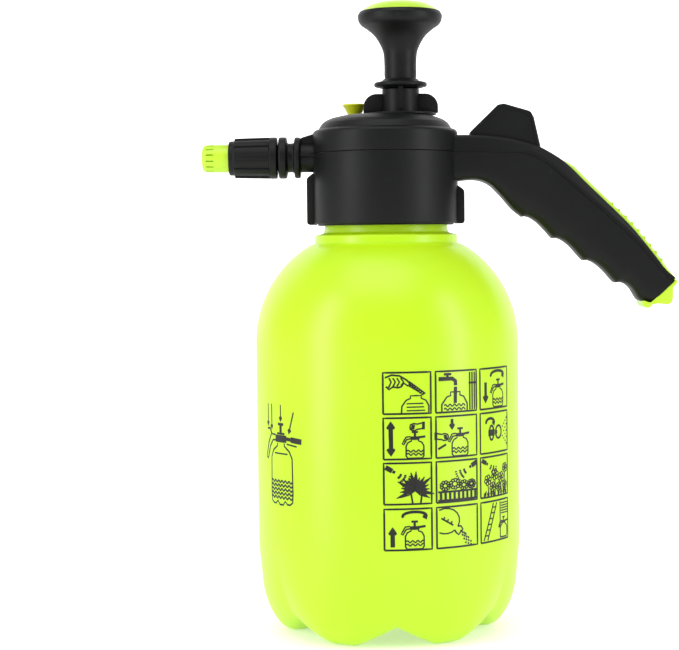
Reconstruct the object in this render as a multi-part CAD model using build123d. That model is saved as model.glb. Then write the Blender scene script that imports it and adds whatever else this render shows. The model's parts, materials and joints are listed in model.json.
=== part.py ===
from build123d import *
import math
import os

os.makedirs("parts", exist_ok=True)

# ------------------------------------------------------------------ driving sizes, in mm
# The bottle stands on z = 0 and its axis is the Z axis. The nozzle points to -X.

# Bottle
bottle_r = 64.0
bottle_wall = 1.6
foot_count = 6
foot_turn = 3.5
foot_h = 32.0
pad_in = 17.0
pad_w = 6.0
base_recess = 9.0
body_h = 109.0
shoulder_h = 47.0
bead_over = 5.1
bead_h = 5.0
neck_r = 29.9
neck_wall = 2.3
neck_h = 28.5
valley_r = 13.0
valley_rise = 8.0
scoop_r = 26.0
scoop_depth = 4.5

# Neck thread
thread_pitch = 5.0
thread_depth = 2.2
thread_land = 1.8
thread_turns = 1.5
thread_fit = 0.5
thread_from_top = 4.0
head_thread_turns = 1.25
gasket_t = 1.8

# Collar of the head
collar_wall = 2.4
collar_seam_up = 9.2
collar_side_up = 17.7
dome_edge_up = 21.3
dome_top_up = 28.1
dome_top_r = 23.0
shell_wall = 2.2
deck_t = 3.0
skirt_drop = 25.6
fin_reach = 3.4
fin_t = 2.2
fin_gap = 7.0
fin_left_h = 25.5
fin_right_h = 20.0
fairing_len = 6.7
inner_barrel_r = 4.1

# Pump
pump_x = 7.8
pump_bore_r = 13.0
pump_wall = 2.0
pump_floor = 3.0
stroke = 55.0
stroke_spare = 0.4
piston_rest_gap = 0.6
flange_over = 2.2
flange_t = 2.7
seal_t = 1.0
boss_wall = 2.3
guide_t = 2.0
guide_plug = 6.0
rod_r = 6.0
rod_grip = 17.0
piston_h = 12.0
piston_screw_r = 1.6
inlet_r = 1.2
umbrella_r = 9.0
umbrella_t = 1.2
cap_disc_t = 2.0
tower_r = 9.0
tower_h = 12.0
groove_w = 2.3
cap_disc_over = 1.1
wing_h = 10.0
wing_t = 3.6
knob_rest_gap = 0.2
knob_flange_r = 12.7
knob_flange_t = 4.1
knob_neck_r = 7.7
knob_r = 20.6
knob_h = 37.2
knob_cap_r = 18.6
knob_cap_rise = 5.0

# Relief valve
relief_x = -15.0
relief_y = 13.5
relief_stem_r = 1.5
relief_knob_r = 6.0
relief_knob_h = 6.0
relief_house_r = 4.6
relief_house_h = 10.0
relief_wall = 1.4
relief_seal_t = 1.8
relief_foot_r = 2.9
relief_foot_t = 1.6

# Dip tube
dip_r = 4.0
dip_bore_r = 2.6
dip_angle = 213.0
dip_floor_gap = 22.0
dip_neck_gap = 3.1
strainer_r = 5.5
strainer_h = 10.0
elbow_stem_r = 3.4
elbow_flange = 1.2

# Hoses
hose_r = 2.5
hose_bore_r = 1.6
hose_up = 3.0
hose_gap = 12.0
barb_fit = 0.02
barb_len = 6.0
duct_r = 0.9
spigot_side = 5.0

# Handle, its outline measured from the collar's side and from the deck
handle_w = 25.0
finger_depth = 2.3
lever_w = 16.4
lever_gap = 0.5
lever_wall = 1.8
lever_turn = 8.0
slot_ahead = 3.1
slot_behind = 34.0
pin_out = 7.2
pin_up = 14.2
pin_r = 1.5
hub_r = 2.6
post_gap = 0.3
grip_w = 15.0
grip_t = 1.8
grip_ridges = 8
end_cap_t = 1.8
end_lobe_r = 5.2
end_lobe_w = 10.0

# Valve under the lever
valve_out = 30.7
valve_r = 5.5
valve_bore_r = 3.2
valve_low = -11.0
valve_h = 18.2
valve_floor = 2.0
gland_t = 2.0
stem_r = 2.0
stem_foot_up = 8.3
stem_ring_t = 1.4

# Screws of the handle
screw_r = 1.4
screw_head_r = 3.0
screw_head_t = 1.8
screw_len = 12.0
screw_sink = 3.0
post_r = 4.4

# Springs
spring_r = 2.3
spring_wire_r = 0.3
valve_spring_turns = 4
relief_spring_turns = 7

# Nozzle
nozzle_up = 7.3
barrel_r = 7.1
spigot_r = 5.5
spigot_past = 2.5
spigot_bore_r = 1.8
ring_r = 10.0
ring_out = 6.1
ring_w = 2.7
rear_ring_w = 3.6
rear_ring_gap = 0.9
sleeve_out = 17.4
sleeve_len = 23.5
sleeve_rear_r = 10.1
sleeve_front_r = 8.2
sleeve_ribs = 8
rib_w = 3.0
groove_t = 0.8
o_ring_t = 1.8
o_ring_back = 3.5
tip_len = 13.0
tip_round = 2.2
swirl_r = 2.6
swirl_pin_r = 1.5
tip_r = 6.6
orifice_r = 0.5

# Fits
run_fit = 0.06
slip_fit = 0.3
push_fit = 0.02

# ------------------------------------------------------------------ places worked out from them
wall_top_z = foot_h + body_h
shoulder_top_z = wall_top_z + shoulder_h
neck_base_z = shoulder_top_z + bead_h
neck_top_z = neck_base_z + neck_h
neck_bore_r = neck_r - neck_wall
bead_r = neck_r + bead_over
thread_low_z = neck_top_z - thread_from_top - thread_pitch * thread_turns

deck_z = neck_top_z + gasket_t
deck_top_z = deck_z + deck_t
skirt_r = neck_r + thread_depth + 0.8
collar_r = skirt_r + collar_wall
skirt_low_z = deck_z - skirt_drop
seam_z = deck_z + collar_seam_up
side_top_z = deck_z + collar_side_up
dome_edge_z = deck_z + dome_edge_up
dome_z = deck_z + dome_top_up

pump_r = pump_bore_r + pump_wall
flange_r = pump_r + flange_over
boss_bore_r = flange_r + slip_fit
boss_r = boss_bore_r + boss_wall
cap_disc_r = boss_bore_r - slip_fit + cap_disc_over
flange_z = deck_top_z + seal_t
guide_z = flange_z + flange_t
piston_top_z = guide_z - guide_plug - stroke_spare - stroke
piston_z = piston_top_z - piston_h
pump_low_z = piston_z - piston_rest_gap - pump_floor
tower_top_z = dome_z + tower_h
knob_z = tower_top_z + knob_rest_gap

dip_place_r = neck_bore_r - dip_r - dip_neck_gap
dip_x = dip_place_r * math.cos(math.radians(dip_angle))
dip_y = dip_place_r * math.sin(math.radians(dip_angle))
hose_z = deck_top_z + hose_up

nozzle_z = deck_z + nozzle_up
pin_x = collar_r + pin_out
pin_z = deck_z + pin_up
pin_half = handle_w / 2 - shell_wall + 0.6
slot_w = lever_w + 2 * lever_gap
valve_x = collar_r + valve_out
valve_z = deck_z + valve_low
valve_top_z = valve_z + valve_h
stem_foot_z = valve_z + stem_foot_up
stem_top_z = valve_top_z + gland_t + (valve_x - pin_x + hub_r) * math.sin(math.radians(lever_turn)) + post_gap
valve_inlet_x = valve_x - valve_r - 6.5
hose_side_y = hose_gap / 2
elbow_x = -skirt_r + 6.4
sleeve_rear = -collar_r - sleeve_out
sleeve_front = sleeve_rear - sleeve_len
tip_front = sleeve_front - tip_len
spigot_tip_x = sleeve_front - spigot_past
ring_groove_x = sleeve_front + o_ring_back


def tube(outer, inner, low, high, x=0.0, y=0.0):
    """An upright ring or pipe between two heights."""
    pipe = Cylinder(outer, high - low, align=(Align.CENTER, Align.CENTER, Align.MIN))
    if inner > 0:
        pipe -= Cylinder(inner, high - low, align=(Align.CENTER, Align.CENTER, Align.MIN))
    return Pos(x, y, low) * pipe


def rod_between(start, end, radius):
    """A round bar between two points."""
    path = Vector(*end) - Vector(*start)
    plane = Plane(origin=start, z_dir=path)
    return extrude(plane * Circle(radius), amount=path.length)


def turned(points, x=0.0, y=0.0):
    """A solid turned about an upright axis from a closed outline of (radius, height) points."""
    outline = Plane.XZ * make_face(Polyline(*points, close=True))
    return Pos(x, y, 0) * revolve(outline, axis=Axis.Z)


def helical_ridge(root_r, crest_r, low, turns, turn_from=0.0):
    """A thread ridge that grows from a cylinder, right-handed."""
    middle = (root_r + crest_r) / 2
    deep = abs(crest_r - root_r)
    path = Helix(thread_pitch, thread_pitch * turns, middle)
    out = 1 if crest_r > root_r else -1
    section = Plane(origin=(middle, 0, 0), x_dir=(1, 0, 0), z_dir=(0, -1, 0)) * Polygon(
        (-out * deep / 2, -thread_land * 0.75),
        (out * deep / 2, -thread_land * 0.35),
        (out * deep / 2, thread_land * 0.35),
        (-out * deep / 2, thread_land * 0.75),
        align=None,
    )
    ridge = sweep(section, path=path, is_frenet=True)
    return Pos(0, 0, low) * Rot(0, 0, turn_from) * ridge


# ------------------------------------------------------------------ bottle
def bottle_outline(inset):
    """Half section of the bottle without its valleys, drawn in by a wall."""
    straight_r = bottle_r - inset
    top_r = bead_r + 1.0 - inset
    rise = shoulder_h
    arc_r = (rise ** 2 + (straight_r - top_r) ** 2) / (2 * (straight_r - top_r))
    half_turn = math.asin(rise / arc_r) / 2
    mid = (straight_r - arc_r + arc_r * math.cos(half_turn), wall_top_z + arc_r * math.sin(half_turn))
    base = base_recess + inset
    pad_outer_r = bottle_r - pad_in
    pad_inner_r = pad_outer_r - pad_w
    foot_mid = (bottle_r - 8.4 - inset * 0.7, 5.0 + inset * 0.7)
    foot_out = (bottle_r - 4.0 - inset, 11.8)
    foot_high = (bottle_r - 1.4 - inset, 20.5)
    floor = Polyline((0, shoulder_top_z), (0, base))
    dome = ThreePointArc((0, base), (pad_inner_r * 0.6, base * 0.72 + inset * 0.3), (pad_inner_r, inset))
    pad = Line((pad_inner_r, inset), (pad_outer_r, inset))
    foot = ThreePointArc((pad_outer_r, inset), foot_mid, foot_out)
    flank = ThreePointArc(foot_out, foot_high, (straight_r, foot_h))
    side = Line((straight_r, foot_h), (straight_r, wall_top_z))
    shoulder = ThreePointArc((straight_r, wall_top_z), mid, (top_r, shoulder_top_z))
    lid = Line((top_r, shoulder_top_z), (0, shoulder_top_z))
    return make_face(floor + dome + pad + foot + flank + side + shoulder + lid)


def bottle_valleys(inset):
    """The hollows between the feet: a trough under the base and a scoop in the wall."""
    cutters = []
    for i in range(foot_count):
        angle = foot_turn + 360 / foot_count * i - 90
        trough = rod_between((0, 0, valley_rise - valley_r + 2.0), (bottle_r * 1.3, 0, valley_rise - valley_r),
                             valley_r + inset)
        scoop = Pos(bottle_r + scoop_r - scoop_depth, 0, 2.0) * Sphere(scoop_r + inset)
        cutters.append(Rot(0, 0, angle) * (trough + scoop))
    return cutters


def make_bottle():
    outer = revolve(Plane.XZ * bottle_outline(0.0), axis=Axis.Z)
    inner = revolve(Plane.XZ * bottle_outline(bottle_wall), axis=Axis.Z)
    for cutter in bottle_valleys(0.0):
        outer -= cutter
    for cutter in bottle_valleys(bottle_wall):
        inner -= cutter
    outer += tube(bead_r, 0, shoulder_top_z, neck_base_z)
    outer += tube(neck_r, 0, neck_base_z - 1.0, neck_top_z)
    inner += tube(neck_bore_r, 0, shoulder_top_z - 12.0, neck_top_z)
    shell = outer - inner
    ridge = helical_ridge(neck_r - 0.5, neck_r + thread_depth, thread_low_z, thread_turns)
    return shell + ridge


def make_gasket():
    return tube(neck_r + 0.3, neck_bore_r + 0.5, neck_top_z + push_fit, deck_z - push_fit)


# ------------------------------------------------------------------ head shells
def handle_top_line():
    """The handle's back, from inside the collar to the end's upper corner."""
    x = collar_r
    z = deck_z
    return Spline((x - 3, z + 17.9), (x + 24.9, z + 16.6), (x + 52.6, z + 4.5), (x + 84.7, z - 26.2),
                  (x + 105.6, z - 52.9), tangents=[(1, 0), (0.61, -0.79)])


def handle_outline():
    """Side view of the handle, from inside the collar to its end."""
    x = collar_r
    z = deck_z
    top = handle_top_line()
    end = Line((x + 105.6, z - 52.9), (x + 93.6, z - 63.5))
    heel = Polyline((x + 93.6, z - 63.5), (x + 88.0, z - 61.8), (x + 84.8, z - 58.5), (x + 77.1, z - 54.0))
    tips = [(x + 77.1, z - 54.0), (x + 61.5, z - 43.2), (x + 46.5, z - 32.5), (x + 31.5, z - 22.1)]
    arcs = []
    for low, high in zip(tips[:-1], tips[1:]):
        mid = ((low[0] + high[0]) / 2 + finger_depth * 0.57, (low[1] + high[1]) / 2 + finger_depth * 0.82)
        arcs.append(ThreePointArc(low, mid, high))
    throat = Spline((x + 31.5, z - 22.1), (x + 22.6, z - 13.5), (x + 8.4, z - 4.1), (x - 3, z - 5.5),
                    tangents=[(-0.78, 0.62), (-0.9, -0.3)])
    back = Line((x - 3, z - 5.5), (x - 3, z + 17.9))
    return top + end + heel + arcs[0] + arcs[1] + arcs[2] + throat + back


def handle_inner_outline():
    """The hollow of the handle, a wall inside its outline."""
    x = collar_r
    z = deck_z
    w = shell_wall
    top = Spline((x - 3, z + 17.9 - w), (x + 24.3, z + 16.5 - w), (x + 51.0, z + 2.7), (x + 83.0, z - 27.8),
                 (x + 102.2, z - 52.4), tangents=[(1, 0), (0.61, -0.79)])
    end = Line((x + 102.2, z - 52.4), (x + 93.2, z - 60.4))
    low = Polyline((x + 93.2, z - 60.4), (x + 79.5, z - 51.0), (x + 34.5, z - 19.0))
    throat = Spline((x + 34.5, z - 19.0), (x + 24.9, z - 11.3), (x + 8.4, z - 1.2), (x - 3, z - 2.2),
                    tangents=[(-0.78, 0.62), (-0.9, -0.2)])
    back = Line((x - 3, z - 2.2), (x - 3, z + 17.9 - w))
    return top + end + low + throat + back


def seam_cutter():
    """Everything below the joint between the two shells."""
    x = collar_r
    z = seam_z
    reach = 160.0
    level = Line((-reach, z), (x + 30.1, z))
    slope = Spline((x + 30.1, z), (x + 48.0, z - 10.2), (x + 70.5, z - 29.6), (x + 88.3, z - 46.0),
                   (x + 109.0, z - 69.0), tangents=[(1, -0.12), (0.66, -0.75)])
    frame = Polyline((x + 109.0, z - 69.0), (x + 109.0, z - reach), (-reach, z - reach), (-reach, z))
    face = Plane.XZ * make_face(level + slope + frame)
    return extrude(face, amount=reach, both=True)


def collar_outer():
    edge_r = collar_r - 3.2
    side = Polyline((0, skirt_low_z), (collar_r, skirt_low_z), (collar_r, side_top_z))
    corner = ThreePointArc((collar_r, side_top_z), (collar_r - 0.9, side_top_z + 2.1), (edge_r, dome_edge_z))
    dome = ThreePointArc((edge_r, dome_edge_z), (dome_top_r + 5.0, dome_z - 2.4), (dome_top_r, dome_z))
    lid = Polyline((dome_top_r, dome_z), (0, dome_z), (0, skirt_low_z))
    return revolve(Plane.XZ * make_face(side + corner + dome + lid), axis=Axis.Z)


def collar_inner():
    """The dry space above the deck."""
    edge_r = skirt_r - 2.6
    w = shell_wall
    return turned([(0, deck_top_z), (skirt_r, deck_top_z), (skirt_r, side_top_z - 1.0),
                   (edge_r, dome_edge_z - w), (dome_top_r, dome_z - w), (0, dome_z - w)])


def make_head_shell():
    """Both shells as one body, before the seam divides it."""
    handle_side = Plane.XZ * make_face(handle_outline())
    hollow_side = Plane.XZ * make_face(handle_inner_outline())
    handle = extrude(handle_side, amount=handle_w / 2, both=True)
    hollow = extrude(hollow_side, amount=handle_w / 2 - shell_wall, both=True)
    hollow -= tube(collar_r, 0, skirt_low_z - 1, dome_z + 1)
    fairing = Pos(-collar_r + 1.5, 0, nozzle_z) * Rot(0, -90, 0) * Cone(
        barrel_r + 3.4, barrel_r + 1.2, fairing_len, align=(Align.CENTER, Align.CENTER, Align.MIN))
    head = collar_outer() + handle + fairing
    head -= tube(skirt_r, 0, skirt_low_z - 1, deck_z)
    head -= collar_inner()
    head -= hollow
    window_top = deck_z + 17.9 - shell_wall
    head -= Pos(collar_r - 1, 0, (deck_top_z + window_top) / 2) * Box(
        8.0, handle_w - 2 * shell_wall, window_top - deck_top_z)
    head -= rod_between((-collar_r - 12, 0, nozzle_z), (-skirt_r + 1, 0, nozzle_z), barrel_r + push_fit)
    return head


def fins():
    """Pairs of upright ribs on both sides of the skirt."""
    ribs = []
    for side, height in ((-1, fin_left_h), (1, fin_right_h)):
        for turn in (-1, 1):
            low = skirt_low_z - 0.4
            rib = Box(collar_wall + fin_reach, fin_t, height, align=(Align.MIN, Align.CENTER, Align.MIN))
            rib = Pos(skirt_r + 0.1, turn * fin_gap / 2, low) * rib
            ribs.append(Rot(0, 0, 90 - 90 * side) * rib)
    return ribs


def screw_places():
    """Foot and direction of each handle screw, across the handle."""
    lean = math.radians(40)
    along = (math.sin(lean), 0, math.cos(lean))
    return [((collar_r + 55.3, 0, deck_z - 35.9), along), ((collar_r + 80.5, 0, deck_z - 56.0), along)]


def along_screw(place, distance):
    """A point on a screw's axis."""
    foot, way = place
    return tuple(foot[i] + way[i] * distance for i in range(3))


def make_lower_shell(head, below, handle_solid):
    shell = head & below
    deck_hole = tube(pump_r + slip_fit, 0, deck_z - 1, deck_top_z + 1, pump_x)
    shell -= deck_hole
    shell += tube(boss_r, boss_bore_r, deck_top_z, dome_z - shell_wall, pump_x) & collar_inner()
    shell += tube(relief_house_r, relief_house_r - relief_wall, deck_top_z - 0.5, deck_top_z + relief_house_h,
                  relief_x, relief_y)
    shell -= tube(relief_stem_r, 0, deck_z - 1, deck_top_z + 1, relief_x, relief_y)
    shell -= tube(elbow_stem_r + push_fit, 0, deck_z - 1, deck_top_z + 1, dip_x, dip_y)
    for rib in fins():
        shell += rib
    ridge_low = thread_low_z - thread_pitch / 2
    shell += helical_ridge(skirt_r + 0.5, neck_r + thread_fit, ridge_low, head_thread_turns)
    for place in screw_places():
        post = rod_between(along_screw(place, 1.0), along_screw(place, screw_sink + screw_head_t + 4.2), post_r)
        shell += post & handle_solid & below
        shell -= rod_between(along_screw(place, -3.0), along_screw(place, screw_sink + screw_head_t),
                             screw_head_r + 0.2)
        shell -= rod_between(along_screw(place, 0), along_screw(place, 12.0), screw_r + 0.1)
    seat = Pos(valve_x, 0, valve_z - 6) * Box(4.0, handle_w - 3.0, 12.0, align=(Align.CENTER, Align.CENTER, Align.MIN))
    seat &= tube(60, 0, valve_z - 12, valve_z, valve_x)
    shell += seat & handle_solid & below
    return shell


def make_upper_shell(head, below, lower, handle_solid):
    shell = head - below
    shell -= tube(boss_bore_r + 0.3, 0, dome_z - shell_wall - 1, dome_z + 1, pump_x)
    stem_boss = tube(relief_house_r - 0.4, 0, dome_z - 5.5, dome_z - 1.0, relief_x, relief_y)
    shell += stem_boss & tube(dome_top_r + 4, 0, dome_z - 8, dome_z - 0.1)
    shell -= tube(relief_stem_r + run_fit, 0, dome_z - 8, dome_z + 2, relief_x, relief_y)
    slot_front = pin_x - slot_ahead
    slot_back = pin_x + slot_behind
    shell -= Pos((slot_front + slot_back) / 2, 0, pin_z) * Box(slot_back - slot_front, slot_w, 16.0)
    for side in (-1, 1):
        ear_t = (handle_w - 2 * shell_wall - slot_w) / 2 + 0.6
        ear = Box(6.4, ear_t, 8.4, align=(Align.CENTER, Align.MIN, Align.MIN))
        ear_y = slot_w / 2 if side > 0 else -slot_w / 2 - ear_t
        shell += Pos(pin_x, ear_y, seam_z + 0.05) * ear & handle_solid
    shell -= rod_between((pin_x, -pin_half - 0.1, pin_z), (pin_x, pin_half + 0.1, pin_z), pin_r + push_fit)
    for place in screw_places():
        post = rod_between(along_screw(place, screw_sink + screw_head_t + 4.4), along_screw(place, 45.0),
                           post_r - 1.0)
        shell += (post & handle_solid) - below + ((post & handle_solid & below) - lower)
        shell -= rod_between(along_screw(place, 0), along_screw(place, screw_sink + screw_len + 2.0), screw_r)
    return shell


def make_screws():
    group = []
    for place in screw_places():
        head = rod_between(along_screw(place, screw_sink), along_screw(place, screw_sink + screw_head_t),
                           screw_head_r)
        slot = rod_between(along_screw(place, screw_sink - 0.5), along_screw(place, screw_sink + 1.0), 0.9)
        shank = rod_between(along_screw(place, screw_sink), along_screw(place, screw_sink + screw_len), screw_r)
        group.append(head + shank - slot)
    return Compound(group)


def make_grip_insert(handle_solid):
    """The soft strip on the back of the handle, ridged over its lower half."""
    x = collar_r
    z = deck_z
    lift = grip_t * 0.72
    side = Plane.XZ * make_face(handle_outline())
    strip = Pos(lift, 0, lift) * extrude(side, amount=grip_w / 2, both=True)
    back = handle_top_line()
    for i in range(grip_ridges):
        place = back @ (0.66 + 0.037 * i)
        strip += Pos(place.X + lift, 0, place.Y + lift) * Rot(90, 0, 0) * Cylinder(0.9, grip_w - 1)
    stretch = Plane.XZ * make_face(Polyline(
        (x + 52.6, z + 20.0), (x + 52.6, z - 4.0), (x + 99.6, z - 58.2), (x + 117.6, z - 42.3),
        (x + 117.6, z + 20.0), close=True))
    strip &= extrude(stretch, amount=grip_w, both=True)
    return strip - handle_solid


def make_end_cap(grip, handle_solid):
    """The plug over the handle's end, with a lobe that a cord can pass behind."""
    x = collar_r
    z = deck_z
    t = end_cap_t
    side = Plane.XZ * make_face(Polyline(
        (x + 105.6, z - 52.9), (x + 93.6, z - 63.5), (x + 93.6 + t * 0.66, z - 63.5 - t * 0.75),
        (x + 105.6 + t * 0.66, z - 52.9 - t * 0.75), close=True))
    plate = extrude(side, amount=handle_w / 2 - 0.5, both=True)
    middle = (x + 99.4, z - 58.2)
    lobe = Pos(middle[0], 0, middle[1]) * Rot(90, 0, 0) * Cylinder(end_lobe_r, end_lobe_w)
    return plate + lobe - handle_solid - grip


# ------------------------------------------------------------------ pump
def make_pump_cylinder():
    body = tube(pump_r, 0, pump_low_z, guide_z - 0.5, pump_x) + tube(flange_r, 0, flange_z, guide_z, pump_x)
    body -= tube(pump_bore_r, 0, pump_low_z + pump_floor, guide_z + 1, pump_x)
    body -= tube(2.0, 0, pump_low_z - 1, pump_low_z + pump_floor + 1, pump_x)
    for i in range(4):
        x = pump_x + 6.0 * math.cos(math.radians(45 + 90 * i))
        y = 6.0 * math.sin(math.radians(45 + 90 * i))
        body -= tube(inlet_r, 0, pump_low_z - 1, pump_low_z + pump_floor + 1, x, y)
    return body


def make_cylinder_seal():
    return tube(flange_r, pump_r + 0.1, deck_top_z, flange_z, pump_x)


def make_rod_guide():
    guide = tube(flange_r - 0.4, 0, guide_z, guide_z + guide_t, pump_x)
    guide += tube(pump_bore_r - 0.05, 0, guide_z - guide_plug, guide_z + 0.5, pump_x)
    guide -= tube(rod_r + run_fit, 0, guide_z - guide_plug - 1, guide_z + guide_t + 1, pump_x)
    for side in (-1, 1):
        guide -= tube(1.0, 0, guide_z - guide_plug - 1, guide_z + guide_t + 1, pump_x, side * 9.5)
    return guide


def make_check_valve():
    umbrella = tube(umbrella_r, 0, pump_low_z - umbrella_t, pump_low_z, pump_x)
    stem = tube(1.95, 0, pump_low_z - umbrella_t, pump_low_z + pump_floor, pump_x)
    return umbrella + stem


def make_pump_cap():
    """Winged nut that holds the cylinder down and guides the rod."""
    plug_low = guide_z + guide_t
    cap = tube(boss_bore_r - slip_fit, pump_bore_r, plug_low, dome_z, pump_x)
    cap += tube(cap_disc_r, 0, dome_z, dome_z + cap_disc_t, pump_x)
    cap += tube(tower_r, 0, dome_z + 0.5, tower_top_z, pump_x)
    for side in (-1, 1):
        wing = Box(cap_disc_r - 4.0, wing_t, wing_h, align=(Align.MIN, Align.CENTER, Align.MIN))
        upper_edges = wing.edges().filter_by(Axis.Y).group_by(Axis.Z)[-1].sort_by(Axis.X)
        wing = fillet(upper_edges[-1], 6.5)
        cap += Pos(pump_x, 0, dome_z) * Rot(0, 0, 90 - 90 * side) * Pos(4.0, 0, 0) * wing
    cap -= tube(rod_r + run_fit, 0, dome_z - 1, tower_top_z + 1, pump_x)
    for side in (-1, 1):
        groove_y = side * (tower_r - 0.4)
        cap -= Pos(pump_x, groove_y, dome_z + cap_disc_t + tower_h / 2) * Box(groove_w, 1.6, tower_h)
    return cap


def make_pump_rod():
    rod = tube(rod_r, 0, piston_top_z, knob_z + knob_flange_t + rod_grip, pump_x)
    return rod - tube(piston_screw_r, 0, piston_top_z - 1, piston_top_z + 9.5, pump_x)


def make_piston():
    rim_r = pump_bore_r - 0.7
    spool = tube(rim_r, 0, piston_z, piston_z + 3.5, pump_x)
    spool += tube(rod_r, 0, piston_z, piston_top_z, pump_x)
    spool += tube(rim_r, 0, piston_top_z - 3.5, piston_top_z, pump_x)
    spool -= tube(3.4, 0, piston_z - 1, piston_z + 2.2, pump_x)
    return spool - tube(piston_screw_r + run_fit, 0, piston_z, piston_top_z + 1, pump_x)


def make_piston_seal():
    return tube(pump_bore_r - 0.05, rod_r, piston_z + 3.55, piston_top_z - 3.55, pump_x)


def make_piston_screw():
    screw = tube(3.2, 0, piston_z + 0.3, piston_z + 2.2, pump_x) + tube(
        piston_screw_r - push_fit, 0, piston_z + 1.0, piston_top_z + 9.0, pump_x)
    return screw - tube(1.2, 0, piston_z, piston_z + 1.5, pump_x)


def make_pump_knob():
    z = knob_z
    flange = knob_flange_t
    outer = [(knob_flange_r, z), (knob_flange_r, z + flange), (knob_neck_r, z + flange),
             (knob_neck_r, z + 17.8), (knob_neck_r + 1.2, z + 20.0), (knob_neck_r + 3.2, z + 23.9),
             (knob_neck_r + 5.8, z + 27.8), (knob_r - 4.7, z + 29.8), (knob_r - 1.2, z + 31.8),
             (knob_r, z + knob_h - 2.5), (knob_cap_r + 0.2, z + knob_h)]
    inner = [(knob_cap_r + 0.02, z + knob_h), (knob_cap_r + 0.02, z + knob_h - 3.0), (knob_r - 4.5, z + knob_h - 3.0),
             (knob_r - 6.0, z + 32.0), (knob_neck_r + 3.6, z + 29.4), (rod_r + 0.02, z + 25.5), (rod_r + 0.02, z)]
    return turned(outer + inner, pump_x)


def make_knob_cap():
    """Domed disc that plugs the knob's mouth."""
    rim_z = knob_z + knob_h
    dome_r = (knob_cap_r ** 2 + knob_cap_rise ** 2) / (2 * knob_cap_rise)
    dome = Pos(pump_x, 0, rim_z + knob_cap_rise - dome_r) * Sphere(dome_r)
    cap = tube(knob_cap_r, 0, rim_z - 0.5, rim_z + knob_cap_rise + 1, pump_x) & dome
    cap += tube(knob_cap_r, knob_cap_r - 2.0, rim_z - 2.9, rim_z, pump_x)
    under = Pos(pump_x, 0, rim_z + knob_cap_rise - dome_r) * Sphere(dome_r - 2.0)
    return cap - (tube(knob_cap_r - 2.0, 0, rim_z - 3, rim_z + knob_cap_rise, pump_x) & under)


# ------------------------------------------------------------------ dip tube and hoses
def make_dip_tube():
    return tube(dip_r, dip_bore_r, dip_floor_gap, deck_z - 0.6, dip_x, dip_y)


def make_dip_strainer():
    low = dip_floor_gap - strainer_h + 2.0
    cup = tube(strainer_r, 0, low, low + strainer_h, dip_x, dip_y)
    cup -= tube(dip_r + 0.02, 0, dip_floor_gap, low + strainer_h + 1, dip_x, dip_y)
    cup -= tube(dip_r - 0.8, 0, low + 1.2, dip_floor_gap + 1, dip_x, dip_y)
    for i in range(3):
        slot = Box(strainer_r * 3, 1.2, strainer_h - 5.0)
        cup -= Pos(dip_x, dip_y, low + strainer_h / 2 - 1.4) * Rot(0, 0, 60 * i) * slot
    return cup


def elbow_way():
    """Level direction in which the tube elbow points, square to the line from the pump's axis."""
    away = Vector(dip_x - pump_x, dip_y, 0).normalized()
    return Vector(-away.Y, away.X, 0)


def make_tube_elbow():
    way = elbow_way()
    start = (dip_x, dip_y, hose_z)
    mouth = Vector(*start) + way * (barb_len + elbow_stem_r - 0.6)
    elbow = tube(elbow_stem_r, 0, deck_z, hose_z + 2.2, dip_x, dip_y)
    elbow += tube(elbow_stem_r + elbow_flange, 0, deck_top_z, deck_top_z + 0.8, dip_x, dip_y)
    elbow += tube(dip_bore_r - barb_fit, 0, deck_z - 10.0, deck_z + 0.5, dip_x, dip_y)
    elbow += rod_between(start, tuple(mouth), hose_bore_r - barb_fit)
    elbow -= tube(inlet_r, 0, deck_z - 11.0, hose_z, dip_x, dip_y)
    return elbow - rod_between(start, tuple(mouth + way), duct_r)


def hose_along(points):
    """A hose in the level plane of the barbs, with arcs as large as its runs allow."""
    radii = []
    for before, here, after in zip(points[:-2], points[1:-1], points[2:]):
        run_in = Vector(*here) - Vector(*before)
        run_out = Vector(*after) - Vector(*here)
        turn = math.radians(run_in.get_angle(run_out))
        radii.append(0.45 * min(run_in.length, run_out.length) / math.tan(turn / 2))
    print("hose radii", [round(r, 1) for r in radii])
    path = FilletPolyline(*points, radius=radii)
    start = Plane(origin=path @ 0, z_dir=path % 0)
    ring = start * (Circle(hose_r) - Circle(hose_bore_r))
    hose = sweep(ring, path=path)
    section = math.pi * (hose_r ** 2 - hose_bore_r ** 2)
    print("hose volume", round(hose.volume, 1), "section times length", round(section * path.length, 1))
    return hose


def make_feed_hose():
    way = elbow_way()
    start = Vector(dip_x, dip_y, hose_z) + way * (elbow_stem_r + 1.4)
    bend = Vector(dip_x, dip_y, hose_z) + way * 11.6
    outer = boss_r + hose_r + 5.2
    points = [tuple(start), tuple(bend), (pump_x, -outer, hose_z),
              (pump_x + 16.0, -outer + 8.9, hose_z), (pump_x + boss_r + hose_r - 0.1, -hose_side_y, hose_z),
              (valve_inlet_x - 0.3, -hose_side_y, hose_z)]
    return hose_along(points)


def make_delivery_hose():
    outer = boss_r + hose_r + 4.9
    points = [(elbow_x, spigot_side + 0.2, hose_z), (elbow_x, 14.5, hose_z), (-10.0, outer, hose_z),
              (10.0, outer, hose_z), (pump_x + 16.4, outer - 8.8, hose_z),
              (pump_x + boss_r + hose_r - 0.1, hose_side_y, hose_z),
              (valve_inlet_x - 0.3, hose_side_y, hose_z)]
    return hose_along(points)


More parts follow.
